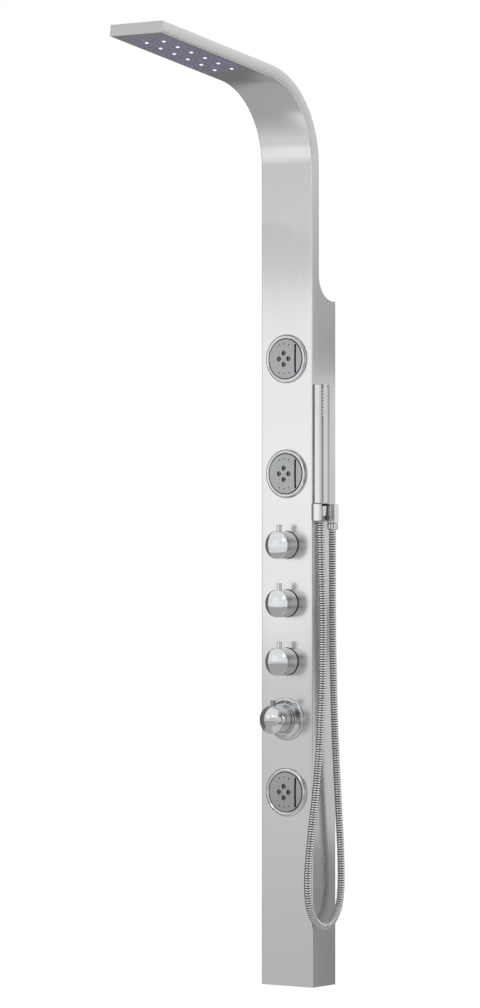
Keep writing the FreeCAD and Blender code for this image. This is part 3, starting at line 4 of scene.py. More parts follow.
import bpy
import numpy as np
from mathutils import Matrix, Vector


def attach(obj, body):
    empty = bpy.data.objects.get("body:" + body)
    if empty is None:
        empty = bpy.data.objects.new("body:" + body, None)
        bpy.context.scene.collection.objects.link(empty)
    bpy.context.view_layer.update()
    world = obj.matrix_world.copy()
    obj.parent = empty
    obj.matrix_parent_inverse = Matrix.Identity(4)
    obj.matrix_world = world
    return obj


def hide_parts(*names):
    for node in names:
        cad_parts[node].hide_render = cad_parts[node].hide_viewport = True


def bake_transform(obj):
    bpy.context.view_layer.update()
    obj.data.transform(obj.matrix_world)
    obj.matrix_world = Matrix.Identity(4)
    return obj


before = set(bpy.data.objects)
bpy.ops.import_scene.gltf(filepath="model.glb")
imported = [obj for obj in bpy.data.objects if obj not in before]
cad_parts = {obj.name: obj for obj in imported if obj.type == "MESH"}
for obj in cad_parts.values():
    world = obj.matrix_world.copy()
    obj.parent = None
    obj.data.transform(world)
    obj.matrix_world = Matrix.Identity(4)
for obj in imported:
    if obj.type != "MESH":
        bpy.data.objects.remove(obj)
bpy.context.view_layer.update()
MM = 0.001


# ---- The photograph's view --------------------------------------------------------------
# A long lens far to the right of the column, level, at about half of its height, so that
# upright edges stay upright. The frame is 480 by 1008 pixels.

VIEW_FROM = (3.9336, -5.6586, 0.73174)
VIEW_TURN = 35.747
SENSOR = 36
FOCAL_PIXELS = 4249.3
LONG_SIDE = 1008
HORIZON_DROP = 27.16
camera_data = bpy.data.cameras.new("view")
camera_data.sensor_width = SENSOR
camera_data.lens = SENSOR * FOCAL_PIXELS / LONG_SIDE
camera_data.shift_y = HORIZON_DROP / LONG_SIDE
camera_data.clip_end = 40
camera = bpy.data.objects.new("view", camera_data)
camera.location = VIEW_FROM
camera.rotation_euler = (math.radians(90), 0, math.radians(VIEW_TURN))
bpy.context.scene.collection.objects.link(camera)
bpy.context.scene.camera = camera
bpy.context.scene.view_settings.view_transform = "Standard"


# ---- Ribbed hose ------------------------------------------------------------------------
# A double-lock hose rolled from chromed brass strip, 12 mm over its ribs, with narrow
# grooves between them, darkened there with painted shade. It hangs in one loop from the
# outlet nut to the sleeve under the handset.

def linear(hex_colour):
    """sRGB hex to linear: c/12.92 below 0.04045, else ((c + 0.055)/1.055) to the 2.4."""
    value = np.array([int(hex_colour[i:i + 2], 16) for i in (1, 3, 5)]) / 255
    low = value / 12.92
    high = ((value + 0.055) / 1.055) ** 2.4
    return (*np.where(value <= 0.04045, low, high), 1.0)


def add(tree, kind, inputs=None, **settings):
    """Add a node; inputs are numbers, colours or the output sockets that feed them."""
    node = tree.nodes.new(kind)
    for name, value in settings.items():
        setattr(node, name, value)
    for name, value in (inputs or {}).items():
        if isinstance(value, bpy.types.NodeSocket):
            tree.links.new(value, node.inputs[name])
        else:
            node.inputs[name].default_value = value
    return node


def finish_of(name, **fixed):
    """A new material and its shader, with the given values on the shader's own sockets."""
    material = bpy.data.materials.new(name)
    material.use_nodes = True
    tree = material.node_tree
    shader = tree.nodes["Principled BSDF"]
    for socket, value in fixed.items():
        shader.inputs[socket.replace("_", " ")].default_value = value
    return material, tree, shader


def mesh_piece(name, points, faces, material, crease=35):
    """A piece from points in millimetres and faces, smooth but for edges past the crease."""
    mesh = bpy.data.meshes.new(name)
    mesh.from_pydata((np.asarray(points) * MM).tolist(), [], [list(f) for f in faces])
    mesh.validate()
    mesh.shade_smooth()
    mesh.set_sharp_from_angle(angle=math.radians(crease))
    mesh.materials.append(material)
    piece = bpy.data.objects.new(name, mesh)
    bpy.context.scene.collection.objects.link(piece)
    return piece


def grid_faces(rows, columns, wrap_rows):
    """Quads of a grid that wraps round its columns, and round its rows where asked."""
    r = np.arange(rows if wrap_rows else rows - 1)[:, None]
    c = np.arange(columns)[None, :]
    below, right = (r + 1) % rows, (c + 1) % columns
    corners = [r * columns + c, r * columns + right, below * columns + right,
               below * columns + c]
    return np.stack(np.broadcast_arrays(*corners), -1).reshape(-1, 4)


HOSE_X, OUTLET_Y, HOLDER_Y = 66.7, -32.5, -64.6
HOSE_ROUTE = [
    (-32.5, 733.8), (-32.5, 660), (-32.0, 560), (-28.5, 460), (-24.0, 385), (-15.5, 290),
    (-7.6, 205), (-8.0, 143.8), (-20.6, 115), (-42.4, 98.4), (-67.6, 98.4), (-89.4, 115),
    (-102.0, 143.8), (-102.6, 190), (-91.5, 255), (-77.0, 325), (-67.0, 400),
    (-60.0, 500), (-58.5, 600), (-64.6, 690), (-64.6, 748.6)]
HOSE_RADIUS, RIB_PITCH, GROOVE = 6.0, 3.9, 1.2
HOSE_SIDES = 20
RIB_PHASES = np.array([0, 0.08, 0.2, 0.34, 0.5, 0.66, 0.8, 0.92])
GROOVE_STRIPS = [0, 1, 6, 7]
TANGENT_REACH = 1.5


def smooth_route(route):
    """Points of the open NURBS curve of order 3 that the route's points control."""
    data = bpy.data.curves.new("route", "CURVE")
    data.dimensions = "3D"
    data.resolution_u = 24
    spline = data.splines.new("NURBS")
    spline.points.add(len(route) - 1)
    for point, (y, z) in zip(spline.points, route):
        point.co = (HOSE_X * MM, y * MM, z * MM, 1)
    spline.order_u = 3
    spline.use_endpoint_u = True
    carrier = bpy.data.objects.new("route", data)
    line = bpy.data.meshes.new_from_object(carrier)
    points = np.array([v.co for v in line.vertices])
    bpy.data.objects.remove(carrier)
    return points / MM


def ribbed_tube(line):
    """Circles square to the line: centre + r (cos t X + sin t N), N = T x X, where the
    radius r follows the distance s as R - g (1 - |sin(pi s / p)| ^ 0.6)."""
    steps = np.linalg.norm(np.diff(line, axis=0), axis=1)
    along = np.concatenate([[0], np.cumsum(steps)])
    length = along[-1]
    ribs = int(round(length / RIB_PITCH))
    pitch = length / ribs
    s = ((np.arange(ribs)[:, None] + RIB_PHASES[None, :]) * pitch).ravel()
    s = np.append(s, length)
    centre = np.stack([np.interp(s, along, line[:, i]) for i in range(3)], 1)
    ahead = np.stack([np.interp(s + TANGENT_REACH, along, line[:, i]) for i in range(3)], 1)
    behind = np.stack([np.interp(s - TANGENT_REACH, along, line[:, i]) for i in range(3)], 1)
    tangent = ahead - behind
    tangent /= np.linalg.norm(tangent, axis=1)[:, None]
    across = np.array([1.0, 0, 0])
    normal = np.cross(tangent, across)
    radius = HOSE_RADIUS - GROOVE * (1 - np.abs(np.sin(np.pi * s / pitch)) ** 0.6)
    turn = np.linspace(0, 2 * np.pi, HOSE_SIDES, endpoint=False)
    ring = np.cos(turn)[None, :, None] * across + np.sin(turn)[None, :, None] * normal[:, None]
    points = centre[:, None] + radius[:, None, None] * ring
    faces = grid_faces(len(s), len(turn), False).tolist()
    last = (len(s) - 1) * len(turn)
    faces.append(list(range(len(turn)))[::-1])
    faces.append(list(range(last, last + len(turn))))
    return points.reshape(-1, 3), faces


def per_metre(size):
    """Scale on Object coordinates of a pattern whose features measure size millimetres."""
    return 1 / (size * MM)


def ramp(tree, factor, stops, smooth=True):
    """A colour ramp over a factor; stops are (position, hex colour or grey level)."""
    node = add(tree, "ShaderNodeValToRGB", {"Fac": factor})
    node.color_ramp.interpolation = "EASE" if smooth else "LINEAR"
    elements = node.color_ramp.elements
    while len(elements) < len(stops):
        elements.new(0.5)
    for element, (position, tone) in zip(elements, stops):
        element.position = position
        element.color = linear(tone) if isinstance(tone, str) else (tone, tone, tone, 1)
    return node.outputs["Color"]


# Bright chrome over nickel: polished like a mirror, under a thin film of lime in patches
# about 5 mm across.
hose_metal, tree, shader = finish_of("chromed_brass_strip", Metallic=1.0)
place = add(tree, "ShaderNodeTexCoord").outputs["Object"]
film = add(tree, "ShaderNodeTexNoise", {"Vector": place, "Scale": per_metre(5.56),
                                        "Detail": 3.0})
tree.links.new(ramp(tree, film.outputs["Fac"], [(0.3, "#cfd1d3"), (0.7, "#e6e8ea")]),
               shader.inputs["Base Color"])
tree.links.new(ramp(tree, film.outputs["Fac"], [(0.3, 0.10), (0.7, 0.17)]),
               shader.inputs["Roughness"])

# In the grooves the strip is rougher, and painted shade makes it dark.
groove_shade_metal, tree, shader = finish_of("groove_painted_shade", Metallic=0.6, Roughness=0.55)
shader.inputs["Base Color"].default_value = linear("#1c1d1f")

hose_line = smooth_route(HOSE_ROUTE)
hose_points, hose_faces = ribbed_tube(hose_line)
hose = mesh_piece("hose", hose_points, hose_faces, hose_metal, crease=80)
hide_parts("shower_hose")
hose.data.materials.append(groove_shade_metal)
strip = np.arange(len(hose.data.polygons)) // HOSE_SIDES % len(RIB_PHASES)
in_groove = np.isin(strip, GROOVE_STRIPS).astype(np.int32)
hose.data.polygons.foreach_set("material_index", in_groove)
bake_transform(hose)


# ---- Column, arm and back cover ---------------------------------------------------------
# One sheet of 1.2 mm stainless steel, folded on long soft edges and brushed along its
# length; the same sheet closes the back of the thin upper part and the top of the arm.

def dress(node, material, crease=30):
    """Give a CAD node its material, and smooth it between edges past the crease."""
    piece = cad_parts[node]
    piece.data.materials.clear()
    piece.data.materials.append(material)
    piece.data.shade_smooth()
    weld = piece.modifiers.new("weld", "WELD")
    weld.merge_threshold = 1e-6
    split = piece.modifiers.new("split", "EDGE_SPLIT")
    split.split_angle = math.radians(crease)
    return piece


SCRATCH_WIDE, SCRATCH_LONG, CLOUD_WIDE = 0.667, 83.3, 200.0
SIDE_FROM = 0.7


def brushed_steel(name, stops, low_rough, high_rough, depth):
    """Rolled stainless sheet, line brushed: fine scratches run along the sheet, drawn
    coarser than real so that they show, and their roughness drifts in wide soft clouds.
    The sides turn their scratches, so that these run along the sheet there too."""
    material, tree, shader = finish_of(name, Metallic=1.0)
    coordinates = add(tree, "ShaderNodeTexCoord")
    facing = add(tree, "ShaderNodeSeparateXYZ", {"Vector": coordinates.outputs["Normal"]})
    sideways = add(tree, "ShaderNodeMath", {0: facing.outputs["X"]}, operation="ABSOLUTE")
    on_side = add(tree, "ShaderNodeMath", {0: sideways.outputs[0], 1: SIDE_FROM},
                  operation="GREATER_THAN")
    wide, long = per_metre(SCRATCH_WIDE), per_metre(SCRATCH_LONG)
    on_front = add(tree, "ShaderNodeVectorMath", {0: coordinates.outputs["Object"],
                                                  1: (wide, long, long)},
                   operation="MULTIPLY")
    turned_by = add(tree, "ShaderNodeVectorMath", {0: coordinates.outputs["Object"],
                                                   1: (long, wide, long)},
                    operation="MULTIPLY")
    pick = add(tree, "ShaderNodeMix", {0: on_side.outputs[0], 4: on_front.outputs[0],
                                       5: turned_by.outputs[0]}, data_type="VECTOR")
    fine = add(tree, "ShaderNodeTexNoise", {"Vector": pick.outputs[1], "Scale": 1.0,
                                            "Detail": 4.0, "Roughness": 0.7})
    cloud = add(tree, "ShaderNodeTexNoise", {"Vector": coordinates.outputs["Object"],
                                             "Scale": per_metre(CLOUD_WIDE),
                                             "Detail": 2.0})
    blend = add(tree, "ShaderNodeMath", {0: fine.outputs["Fac"], 1: cloud.outputs["Fac"],
                                         2: 0.22}, operation="MULTIPLY_ADD")
    tree.links.new(ramp(tree, fine.outputs["Fac"], stops), shader.inputs["Base Color"])
    tree.links.new(ramp(tree, blend.outputs[0], [(0.35, low_rough), (0.6, high_rough)]),
                   shader.inputs["Roughness"])
    bump = add(tree, "ShaderNodeBump", {"Height": fine.outputs["Fac"], "Strength": depth,
                                        "Distance": 0.0002})
    tree.links.new(bump.outputs["Normal"], shader.inputs["Normal"])
    return material


sheet_steel = brushed_steel("line_brushed_stainless", [(0.3, "#d6d6d6"), (0.7, "#dbdbdb")],
                            0.21, 0.27, 0.03)
dress("column_shell", sheet_steel)
dress("back_cover", sheet_steel)


# ---- Wall brackets and hangers ----------------------------------------------------------
# Plain folded plate, zinc plated: a dull grey metal with faint crystals of about 4 mm. The
# hangers run between the column's side walls and hook over the wall brackets' lips.

zinc_plate, tree, shader = finish_of("zinc_plated_plate", Metallic=1.0)
place = add(tree, "ShaderNodeTexCoord").outputs["Object"]
crystals = add(tree, "ShaderNodeTexVoronoi", {"Vector": place, "Scale": per_metre(3.85)})
tree.links.new(ramp(tree, crystals.outputs["Distance"], [(0.0, "#a9adb0"), (0.9, "#8f9498")]),
               shader.inputs["Base Color"])
tree.links.new(ramp(tree, crystals.outputs["Distance"], [(0.0, 0.35), (0.9, 0.5)]),
               shader.inputs["Roughness"])
for node in ("upper_wall_bracket", "lower_wall_bracket", "upper_hanger", "lower_hanger"):
    dress(node, zinc_plate)


# ---- Rain head --------------------------------------------------------------------------
# A moulded chamber lies in the arm on a silicone mat whose nozzles poke through the sheet;
# two strips of small lights behind clear lenses run between the nozzle rows.

def moulded(name, low, high, rough, grain, depth, **fixed):
    """Moulded plastic or rubber: an even tone with the eroded grain of its tool, which is
    given in millimetres and drawn coarser than real."""
    material, tree, shader = finish_of(name, Roughness=rough, **fixed)
    place = add(tree, "ShaderNodeTexCoord").outputs["Object"]
    speckle = add(tree, "ShaderNodeTexNoise", {"Vector": place, "Scale": per_metre(grain),
                                               "Detail": 3.0})
    tree.links.new(ramp(tree, speckle.outputs["Fac"], [(0.3, low), (0.7, high)]),
                   shader.inputs["Base Color"])
    bump = add(tree, "ShaderNodeBump", {"Height": speckle.outputs["Fac"], "Strength": depth,
                                        "Distance": 0.0002})
    tree.links.new(bump.outputs["Normal"], shader.inputs["Normal"])
    return material


dress("rain_chamber", moulded("white_abs", "#d8d8d4", "#e6e6e2", 0.45, 1.11, 0.1))
dress("rain_nozzles", moulded("violet_silicone", "#8f86c4", "#a59cd6", 0.4, 0.667, 0.1,
                              Subsurface_Weight=0.15))
dress("light_boards", moulded("white_coated_strip", "#dfe3e4", "#eceff0", 0.5, 1.67, 0.05))

# Clear lenses, smooth from the mould and lit from behind by cool white lights.
lens_clear, tree, shader = finish_of("clear_polycarbonate", Roughness=0.15)
shader.inputs["Base Color"].default_value = linear("#f4f7ff")
shader.inputs["Emission Color"].default_value = linear("#eef2ff")
shader.inputs["Emission Strength"].default_value = 0.55
dress("light_lenses", lens_clear)


# ---- Body jets --------------------------------------------------------------------------
# Each jet is a chromed ring, a black moulded socket and seat behind it, and a ball face
# painted satin silver, with four recessed sprays, fine sprays above and below them and a
# long slot for a finger.

def rounded(corners, steps=6):
    """A profile with rounded corners: each corner (r, a, f) becomes an arc of radius f
    tangent to both sides, its points centre + f (cos q, sin q) between the tangents."""
    points = np.array([c[:2] for c in corners], float)
    made = []
    for index, corner in enumerate(corners):
        here = points[index]
        size = corner[2] if len(corner) > 2 else 0
        if not size:
            made.append(here[None])
            continue
        back = points[index - 1] - here
        ahead = points[(index + 1) % len(points)] - here
        back /= np.linalg.norm(back)
        ahead /= np.linalg.norm(ahead)
        half = math.acos(np.clip(back @ ahead, -1, 1)) / 2
        middle = (back + ahead) / np.linalg.norm(back + ahead)
        centre = here + middle * size / math.sin(half)
        first = here + back * size / math.tan(half) - centre
        last = here + ahead * size / math.tan(half) - centre
        share = np.linspace(0, 1, steps + 1)[:, None]
        arc = first * (1 - share) + last * share
        made.append(centre + size * arc / np.linalg.norm(arc, axis=1)[:, None])
    return np.concatenate(made)


def dome(radius, crease, rise, steps=20):
    """Cap from the axis out to its rim: the circle of radius (R R + h h) / 2 h whose crown
    stands h in front of the rim, as points (r, a)."""
    big = (radius ** 2 + rise ** 2) / (2 * rise)
    turn = np.linspace(0, math.asin(radius / big), steps)
    return np.stack([big * np.sin(turn), crease + rise - big + big * np.cos(turn)], 1)


def turned(name, profile, centre, axis, material, count=160, crease=35):
    """A closed profile (r, a) carried round an axis: centre + a W + r (cos t U + sin t V).
    Profiles that start and end on the axis are closed there by a single point. The sign
    of the profile's area, the sum of r a' - r' a, says whether its faces have to be turned
    to point outwards."""
    profile = np.asarray(profile, float)
    w = np.array(axis, float)
    u = np.cross(w, [0, 0, 1.0]) if abs(w[2]) < 0.9 else np.array([1.0, 0, 0])
    v = np.cross(w, u)
    solid = profile[0, 0] < 1e-9
    inner = profile[1:-1] if solid else profile
    turn = np.linspace(0, 2 * np.pi, count, endpoint=False)
    ring = np.cos(turn)[:, None] * u + np.sin(turn)[:, None] * v
    points = (np.array(centre, float) + inner[:, 1][:, None, None] * w
              + inner[:, 0][:, None, None] * ring[None]).reshape(-1, 3)
    faces = grid_faces(len(inner), count, not solid)
    if solid:
        ends = np.array(centre) + profile[[0, -1], 1][:, None] * w
        points = np.concatenate([points, ends])
        near = np.arange(count)
        far = near + (len(inner) - 1) * count
        next_near = (near + 1) % count
        next_far = next_near + (len(inner) - 1) * count
        top = np.full(count, len(points) - 2)
        bottom = np.full(count, len(points) - 1)
        caps = [*np.stack([top, next_near, near], 1), *np.stack([bottom, far, next_far], 1)]
        faces = [*faces.tolist(), *[c.tolist() for c in caps]]
    else:
        faces = faces.tolist()
    r, a = profile.T
    if np.sum(r * np.roll(a, -1) - np.roll(r, -1) * a) < 0:
        faces = [f[::-1] for f in faces]
    return mesh_piece(name, points, faces, material, crease)


def seated(piece, body, node):
    """Make a piece ride on its body and stand for its CAD node."""
    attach(piece, body)
    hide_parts(node)
    return piece


# Bright chrome plate on turned brass: a mirror with a faint cool tint, and smears of about
# 30 mm that show mostly in its roughness.
bright_chrome, tree, shader = finish_of("bright_chrome_plate", Metallic=1.0)
place = add(tree, "ShaderNodeTexCoord").outputs["Object"]
smear = add(tree, "ShaderNodeTexNoise", {"Vector": place, "Scale": per_metre(28.6),
                                         "Detail": 4.0})
tree.links.new(ramp(tree, smear.outputs["Fac"], [(0.3, "#cdcfd1"), (0.7, "#d3d5d7")]),
               shader.inputs["Base Color"])
tree.links.new(ramp(tree, smear.outputs["Fac"], [(0.35, 0.03), (0.7, 0.07)]),
               shader.inputs["Roughness"])

black_abs = moulded("black_abs", "#0b0b0c", "#151516", 0.5, 1.43, 0.1)
FACE_CROWN, FACE_BEND = 69.9, 0.9009
SLOT_FROM, DEPTH_SHOWN = 16.5, 10.0
# The face's satin silver, and the greys and black of the painted shade in its recesses.
SATIN_SILVER, WALL_SHADE_GREY, PIT_SHADE_GREY, HOLE_SHADE_BLACK = "#a6a8aa", "#3c3d3f", "#8e9094", "#0c0c0d"


def satin_face_shaded(name, height):
    """Satin silver paint on moulded plastic, with painted shade on the walls of the recesses,
    in the pits and holes below them and in the slot.
    Depth below the crown is y + c - k (x x + (z - h)(z - h)), with k in 1/m, and the ramps
    give it as a share of the depth shown. Past the slot's edge all depths are the slot's."""
    material, tree, shader = finish_of(name, Metallic=0.45, Roughness=0.27)
    place = add(tree, "ShaderNodeSeparateXYZ",
                {"Vector": add(tree, "ShaderNodeTexCoord").outputs["Object"]})
    above = add(tree, "ShaderNodeMath", {0: place.outputs["Z"], 1: height * MM},
                operation="SUBTRACT").outputs[0]
    up = add(tree, "ShaderNodeMath", {0: above, 1: above}, operation="MULTIPLY").outputs[0]
    square = add(tree, "ShaderNodeMath",
                 {0: place.outputs["X"], 1: place.outputs["X"], 2: up},
                 operation="MULTIPLY_ADD").outputs[0]
    crown = add(tree, "ShaderNodeMath", {0: square, 1: -FACE_BEND, 2: FACE_CROWN * MM},
                operation="MULTIPLY_ADD").outputs[0]
    depth = add(tree, "ShaderNodeMath", {0: place.outputs["Y"], 1: crown},
                operation="ADD").outputs[0]
    share = add(tree, "ShaderNodeMath", {0: depth, 1: 1 / (DEPTH_SHOWN * MM)},
                operation="MULTIPLY").outputs[0]
    # Painted shade by depth: grey on the recess walls and floors, black in the holes and the
    # slot.
    pit_shade = ramp(tree, share, [(0.02, SATIN_SILVER), (0.04, WALL_SHADE_GREY), (0.28, WALL_SHADE_GREY),
                              (0.30, PIT_SHADE_GREY), (0.34, PIT_SHADE_GREY), (0.36, HOLE_SHADE_BLACK)], False)
    slot = ramp(tree, share, [(0.02, SATIN_SILVER), (0.05, HOLE_SHADE_BLACK)], False)
    beyond = add(tree, "ShaderNodeMath", {0: place.outputs["X"], 1: SLOT_FROM * MM},
                 operation="GREATER_THAN").outputs[0]
    paint = add(tree, "ShaderNodeMix", {0: beyond, 4: pit_shade, 5: slot}, data_type="VECTOR")
    tree.links.new(paint.outputs[1], shader.inputs["Base Color"])
    return material


OUT = (0, -1, 0)
FRONT = -65.0
JETS = {1: 1009.0, 2: 824.0, 3: 312.0}
BEZEL_RADIUS, BEZEL_BORE, BEZEL_RISE = 39.4, 32.9, 4.0
SPIGOT_RADIUS, SPIGOT_DEPTH = 35.55, 1.8
ROLL_WIDE, ROLL_HIGH, ROLL_FOOT = 4.2, 4.3, 0.8
ROLL_TURN = np.radians(np.linspace(-8, 97, 24))
roll = np.stack([BEZEL_RADIUS - ROLL_WIDE + ROLL_WIDE * np.cos(ROLL_TURN),
                 ROLL_FOOT + ROLL_HIGH * np.sin(ROLL_TURN)], 1)
for number, height in JETS.items():
    ring_profile = rounded([
        (BEZEL_RADIUS, 0.0), *roll.tolist(), (BEZEL_BORE, BEZEL_RISE, 0.3),
        (BEZEL_BORE, -SPIGOT_DEPTH), (SPIGOT_RADIUS, -SPIGOT_DEPTH), (SPIGOT_RADIUS, 0.0)])
    seated(turned(f"jet_ring_{number}", ring_profile, (0, FRONT, height), OUT,
                  bright_chrome, 200), "column", f"jet_bezel_{number}")
    dress(f"jet_face_{number}", satin_face_shaded(f"satin_silver_and_recess_shade_{number}", height), 25)
    dress(f"jet_seat_{number}", black_abs)
    dress(f"jet_socket_{number}", black_abs)
dress("jet_locknuts", black_abs)


# ---- Stop valve knobs -------------------------------------------------------------------
# Three domed knobs turned from brass and chromed, each with a short upright lever pin,
# running in front of a black collar nut that clamps the cartridge in the sheet.

# Turned brass, unpolished: its tool marks are drawn as a grain of 2.5 mm.
machined_brass, tree, shader = finish_of("machined_brass", Metallic=1.0, Roughness=0.28)
place = add(tree, "ShaderNodeTexCoord").outputs["Object"]
cast = add(tree, "ShaderNodeTexNoise", {"Vector": place, "Scale": per_metre(2.5),
                                        "Detail": 4.0})
tree.links.new(ramp(tree, cast.outputs["Fac"], [(0.3, "#b98f4c"), (0.7, "#cfa661")]),
               shader.inputs["Base Color"])
KNOBS = {1: 709.5, 2: 615.75, 3: 522.0}
KNOB_RADIUS, KNOB_FACE, KNOB_CROWN, KNOB_GAP = 22.25, 28.8, 4.0, 1.7
SKIRT_BORE, SKIRT_END, SPINDLE_BORE, SPINDLE_END = 19.5, 9.2, 4.05, 23.8
PIN_RADIUS, PIN_LONG, PIN_OUT, PIN_UP = 4.1, 17.45, 21.0, 15.0
for number, height in KNOBS.items():
    knob_profile = rounded([
        *dome(KNOB_RADIUS - 0.25, KNOB_FACE, KNOB_CROWN).tolist(),
        (KNOB_RADIUS, KNOB_FACE - 0.3, 0.1), (KNOB_RADIUS, KNOB_GAP, 0.4),
        (SKIRT_BORE, KNOB_GAP, 0.3), (SKIRT_BORE, SKIRT_END), (SPINDLE_BORE, SKIRT_END),
        (SPINDLE_BORE, SPINDLE_END), (0.0, SPINDLE_END)])
    seated(turned(f"knob_body_{number}", knob_profile, (0, FRONT, height), OUT,
                  bright_chrome, 200), f"knob_{number}", f"knob_{number}")
    pin_profile = rounded([(0.0, PIN_LONG), (PIN_RADIUS, PIN_LONG, 0.8), (PIN_RADIUS, 0.0),
                           (0.0, 0.0)])
    pin_foot = (0, FRONT - PIN_OUT, height + PIN_UP)
    seated(turned(f"lever_{number}", pin_profile, pin_foot, (0, 0, 1), bright_chrome, 64),
           f"knob_{number}", f"lever_pin_{number}")
    dress(f"spindle_{number}", machined_brass)
dress("knob_collars", black_abs)
dress("stop_cartridges", machined_brass)


# ---- Thermostat -------------------------------------------------------------------------
# A larger chromed knob with a safety button on top, in front of a scale ring with plain
# tick marks and a stepped chrome flange that covers the cartridge's hole in the sheet.

THERMO = (0, FRONT, 429.5)
THERMO_RADIUS, THERMO_FACE, THERMO_CROWN, THERMO_BACK = 22.5, 44.15, 8.0, 19.0
THERMO_HOLLOW, HOLLOW_END, STEM_BORE, STEM_END = 18.0, 28.0, 5.05, 34.8
thermo_profile = rounded([
    *dome(THERMO_RADIUS - 0.4, THERMO_FACE, THERMO_CROWN, 30).tolist(),
    (THERMO_RADIUS, THERMO_FACE - 0.45, 0.1), (THERMO_RADIUS, THERMO_BACK, 0.5),
    (THERMO_HOLLOW, THERMO_BACK, 0.3), (THERMO_HOLLOW, HOLLOW_END), (STEM_BORE, HOLLOW_END),
    (STEM_BORE, STEM_END), (0.0, STEM_END)])
seated(turned("thermo_knob", thermo_profile, THERMO, OUT, bright_chrome, 200),
       "thermostat", "thermostat_knob")
FLANGE_RADIUS, FLANGE_THICK, FLANGE_FLOOR = 34.5, 4.0, 5.2
STEP_RADIUS, STEP_BORE, STEP_END = 24.4, 22.4, 18.0
FLANGE_LIP, CARTRIDGE_BORE, CARTRIDGE_SEAT, SEAT_DEPTH = 30.3, 14.15, 20.3, 1.2
flange_profile = rounded([
    (CARTRIDGE_SEAT, 0.0), (FLANGE_RADIUS, 0.0), (FLANGE_RADIUS, FLANGE_THICK - 0.1, 2.2),
    (FLANGE_LIP, FLANGE_THICK), (STEP_RADIUS, FLANGE_THICK), (STEP_RADIUS, STEP_END, 0.4),
    (STEP_BORE, STEP_END, 0.4), (STEP_BORE, FLANGE_FLOOR), (CARTRIDGE_BORE, FLANGE_FLOOR),
    (CARTRIDGE_BORE, SEAT_DEPTH), (CARTRIDGE_SEAT, SEAT_DEPTH)], 10)
seated(turned("thermo_flange", flange_profile, THERMO, OUT, bright_chrome, 200),
       "column", "thermostat_flange")

# Chrome over a fine blasted surface: its mirror is soft, its grain too fine to see.
satin_chrome, tree, shader = finish_of("satin_chrome_plate", Metallic=1.0, Roughness=0.13)
place = add(tree, "ShaderNodeTexCoord").outputs["Object"]
blast = add(tree, "ShaderNodeTexNoise", {"Vector": place, "Scale": per_metre(0.625),
                                         "Detail": 2.0})
tree.links.new(ramp(tree, blast.outputs["Fac"], [(0.3, "#c4c6c8"), (0.7, "#d0d2d3")]),
               shader.inputs["Base Color"])
SCALE_BORE, SCALE_RADIUS, SCALE_END = 24.45, 30.2, 11.0
CONE_FOOT, CONE_TOP = 6.5, 25.2
scale_profile = rounded([(SCALE_BORE, FLANGE_THICK), (SCALE_RADIUS, FLANGE_THICK),
                         (SCALE_RADIUS, CONE_FOOT, 0.5), (CONE_TOP, SCALE_END, 0.3),
                         (SCALE_BORE, SCALE_END)])
seated(turned("scale", scale_profile, THERMO, OUT, satin_chrome, 200),
       "column", "scale_ring")


TICK_DEPTH = 0.3


def tick_marks(count, span, low, high, width, lift):
    """Small bars on the cone r = R - k (a - f), where k is its fall in radius over its
    height: each runs from a = low to high, at equal turns over the span, and stands a
    little proud of the cone."""
    turn = np.radians(np.linspace(-span / 2, span / 2, count))
    a = np.array([low, high, high, low, low, high, high, low], float)
    side = np.array([-1, -1, 1, 1, -1, -1, 1, 1]) * width / 2
    proud = np.array([lift] * 4 + [-TICK_DEPTH] * 4)
    fall, high_up = SCALE_RADIUS - CONE_TOP, SCALE_END - CONE_FOOT
    r = SCALE_RADIUS - fall / high_up * (a - CONE_FOOT)
    normal = np.array([high_up, fall]) / np.hypot(high_up, fall)
    r = r + proud * normal[0]
    a = a + proud * normal[1]
    s, c = np.sin(turn)[:, None], np.cos(turn)[:, None]
    x = r * s + side * c
    z = r * c - side * s
    y = np.broadcast_to(-a, x.shape)
    points = np.stack([x, y, z], -1).reshape(-1, 3) + np.array(THERMO)
    box = np.array([[0, 1, 2, 3], [7, 6, 5, 4], [0, 4, 5, 1], [1, 5, 6, 2], [2, 6, 7, 3],
                    [3, 7, 4, 0]])
    faces = (np.arange(count)[:, None, None] * 8 + box[None]).reshape(-1, 4)
    return points, faces


# Marks filled with dark enamel, and a button plated in a duller grey than the knob.
dark_ink = moulded("dark_enamel_fill", "#202224", "#2a2c2e", 0.5, 1.11, 0.05)
tick_points, tick_faces = tick_marks(count=21, span=200, low=7.0, high=9.4, width=0.8,
                                     lift=0.06)
ticks = mesh_piece("scale_ticks", tick_points, tick_faces, dark_ink)
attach(ticks, "column")
button_grey, tree, shader = finish_of("satin_grey_plate", Metallic=1.0, Roughness=0.35)
shader.inputs["Base Color"].default_value = linear("#96989a")
dress("safety_button", button_grey)
for node in ("thermostat_cartridge", "thermostat_spindle", "button_spring"):
    dress(node, machined_brass)


# ---- Manifold and pipes -----------------------------------------------------------------
# Hidden in the box: a brass manifold with inlet nipples, the plastic pipes to the rain
# head, jets and outlet, and the little generator and cable that feed the lights.

for node in ("valve_manifold", "inlet_nipples", "outlet_locknut"):
    dress(node, machined_brass)
pipe_plastic = moulded("grey_polyethylene", "#a9adb1", "#b8bcc0", 0.4, 3.33, 0.1)
for node in ("rain_pipe", "upper_jet_pipe", "lower_jet_pipe", "outlet_pipe"):
    dress(node, pipe_plastic)
dress("water_generator", black_abs)
black_rubber = moulded("black_rubber", "#101011", "#1a1a1b", 0.65, 1.11, 0.2)
dress("light_cable", black_rubber)


# ---- Outlet block, holder and hose ends -------------------------------------------------
# A plated brass block carries the hose outlet and an open ring with a grey liner, in
# which the conical nut of the handset hangs.

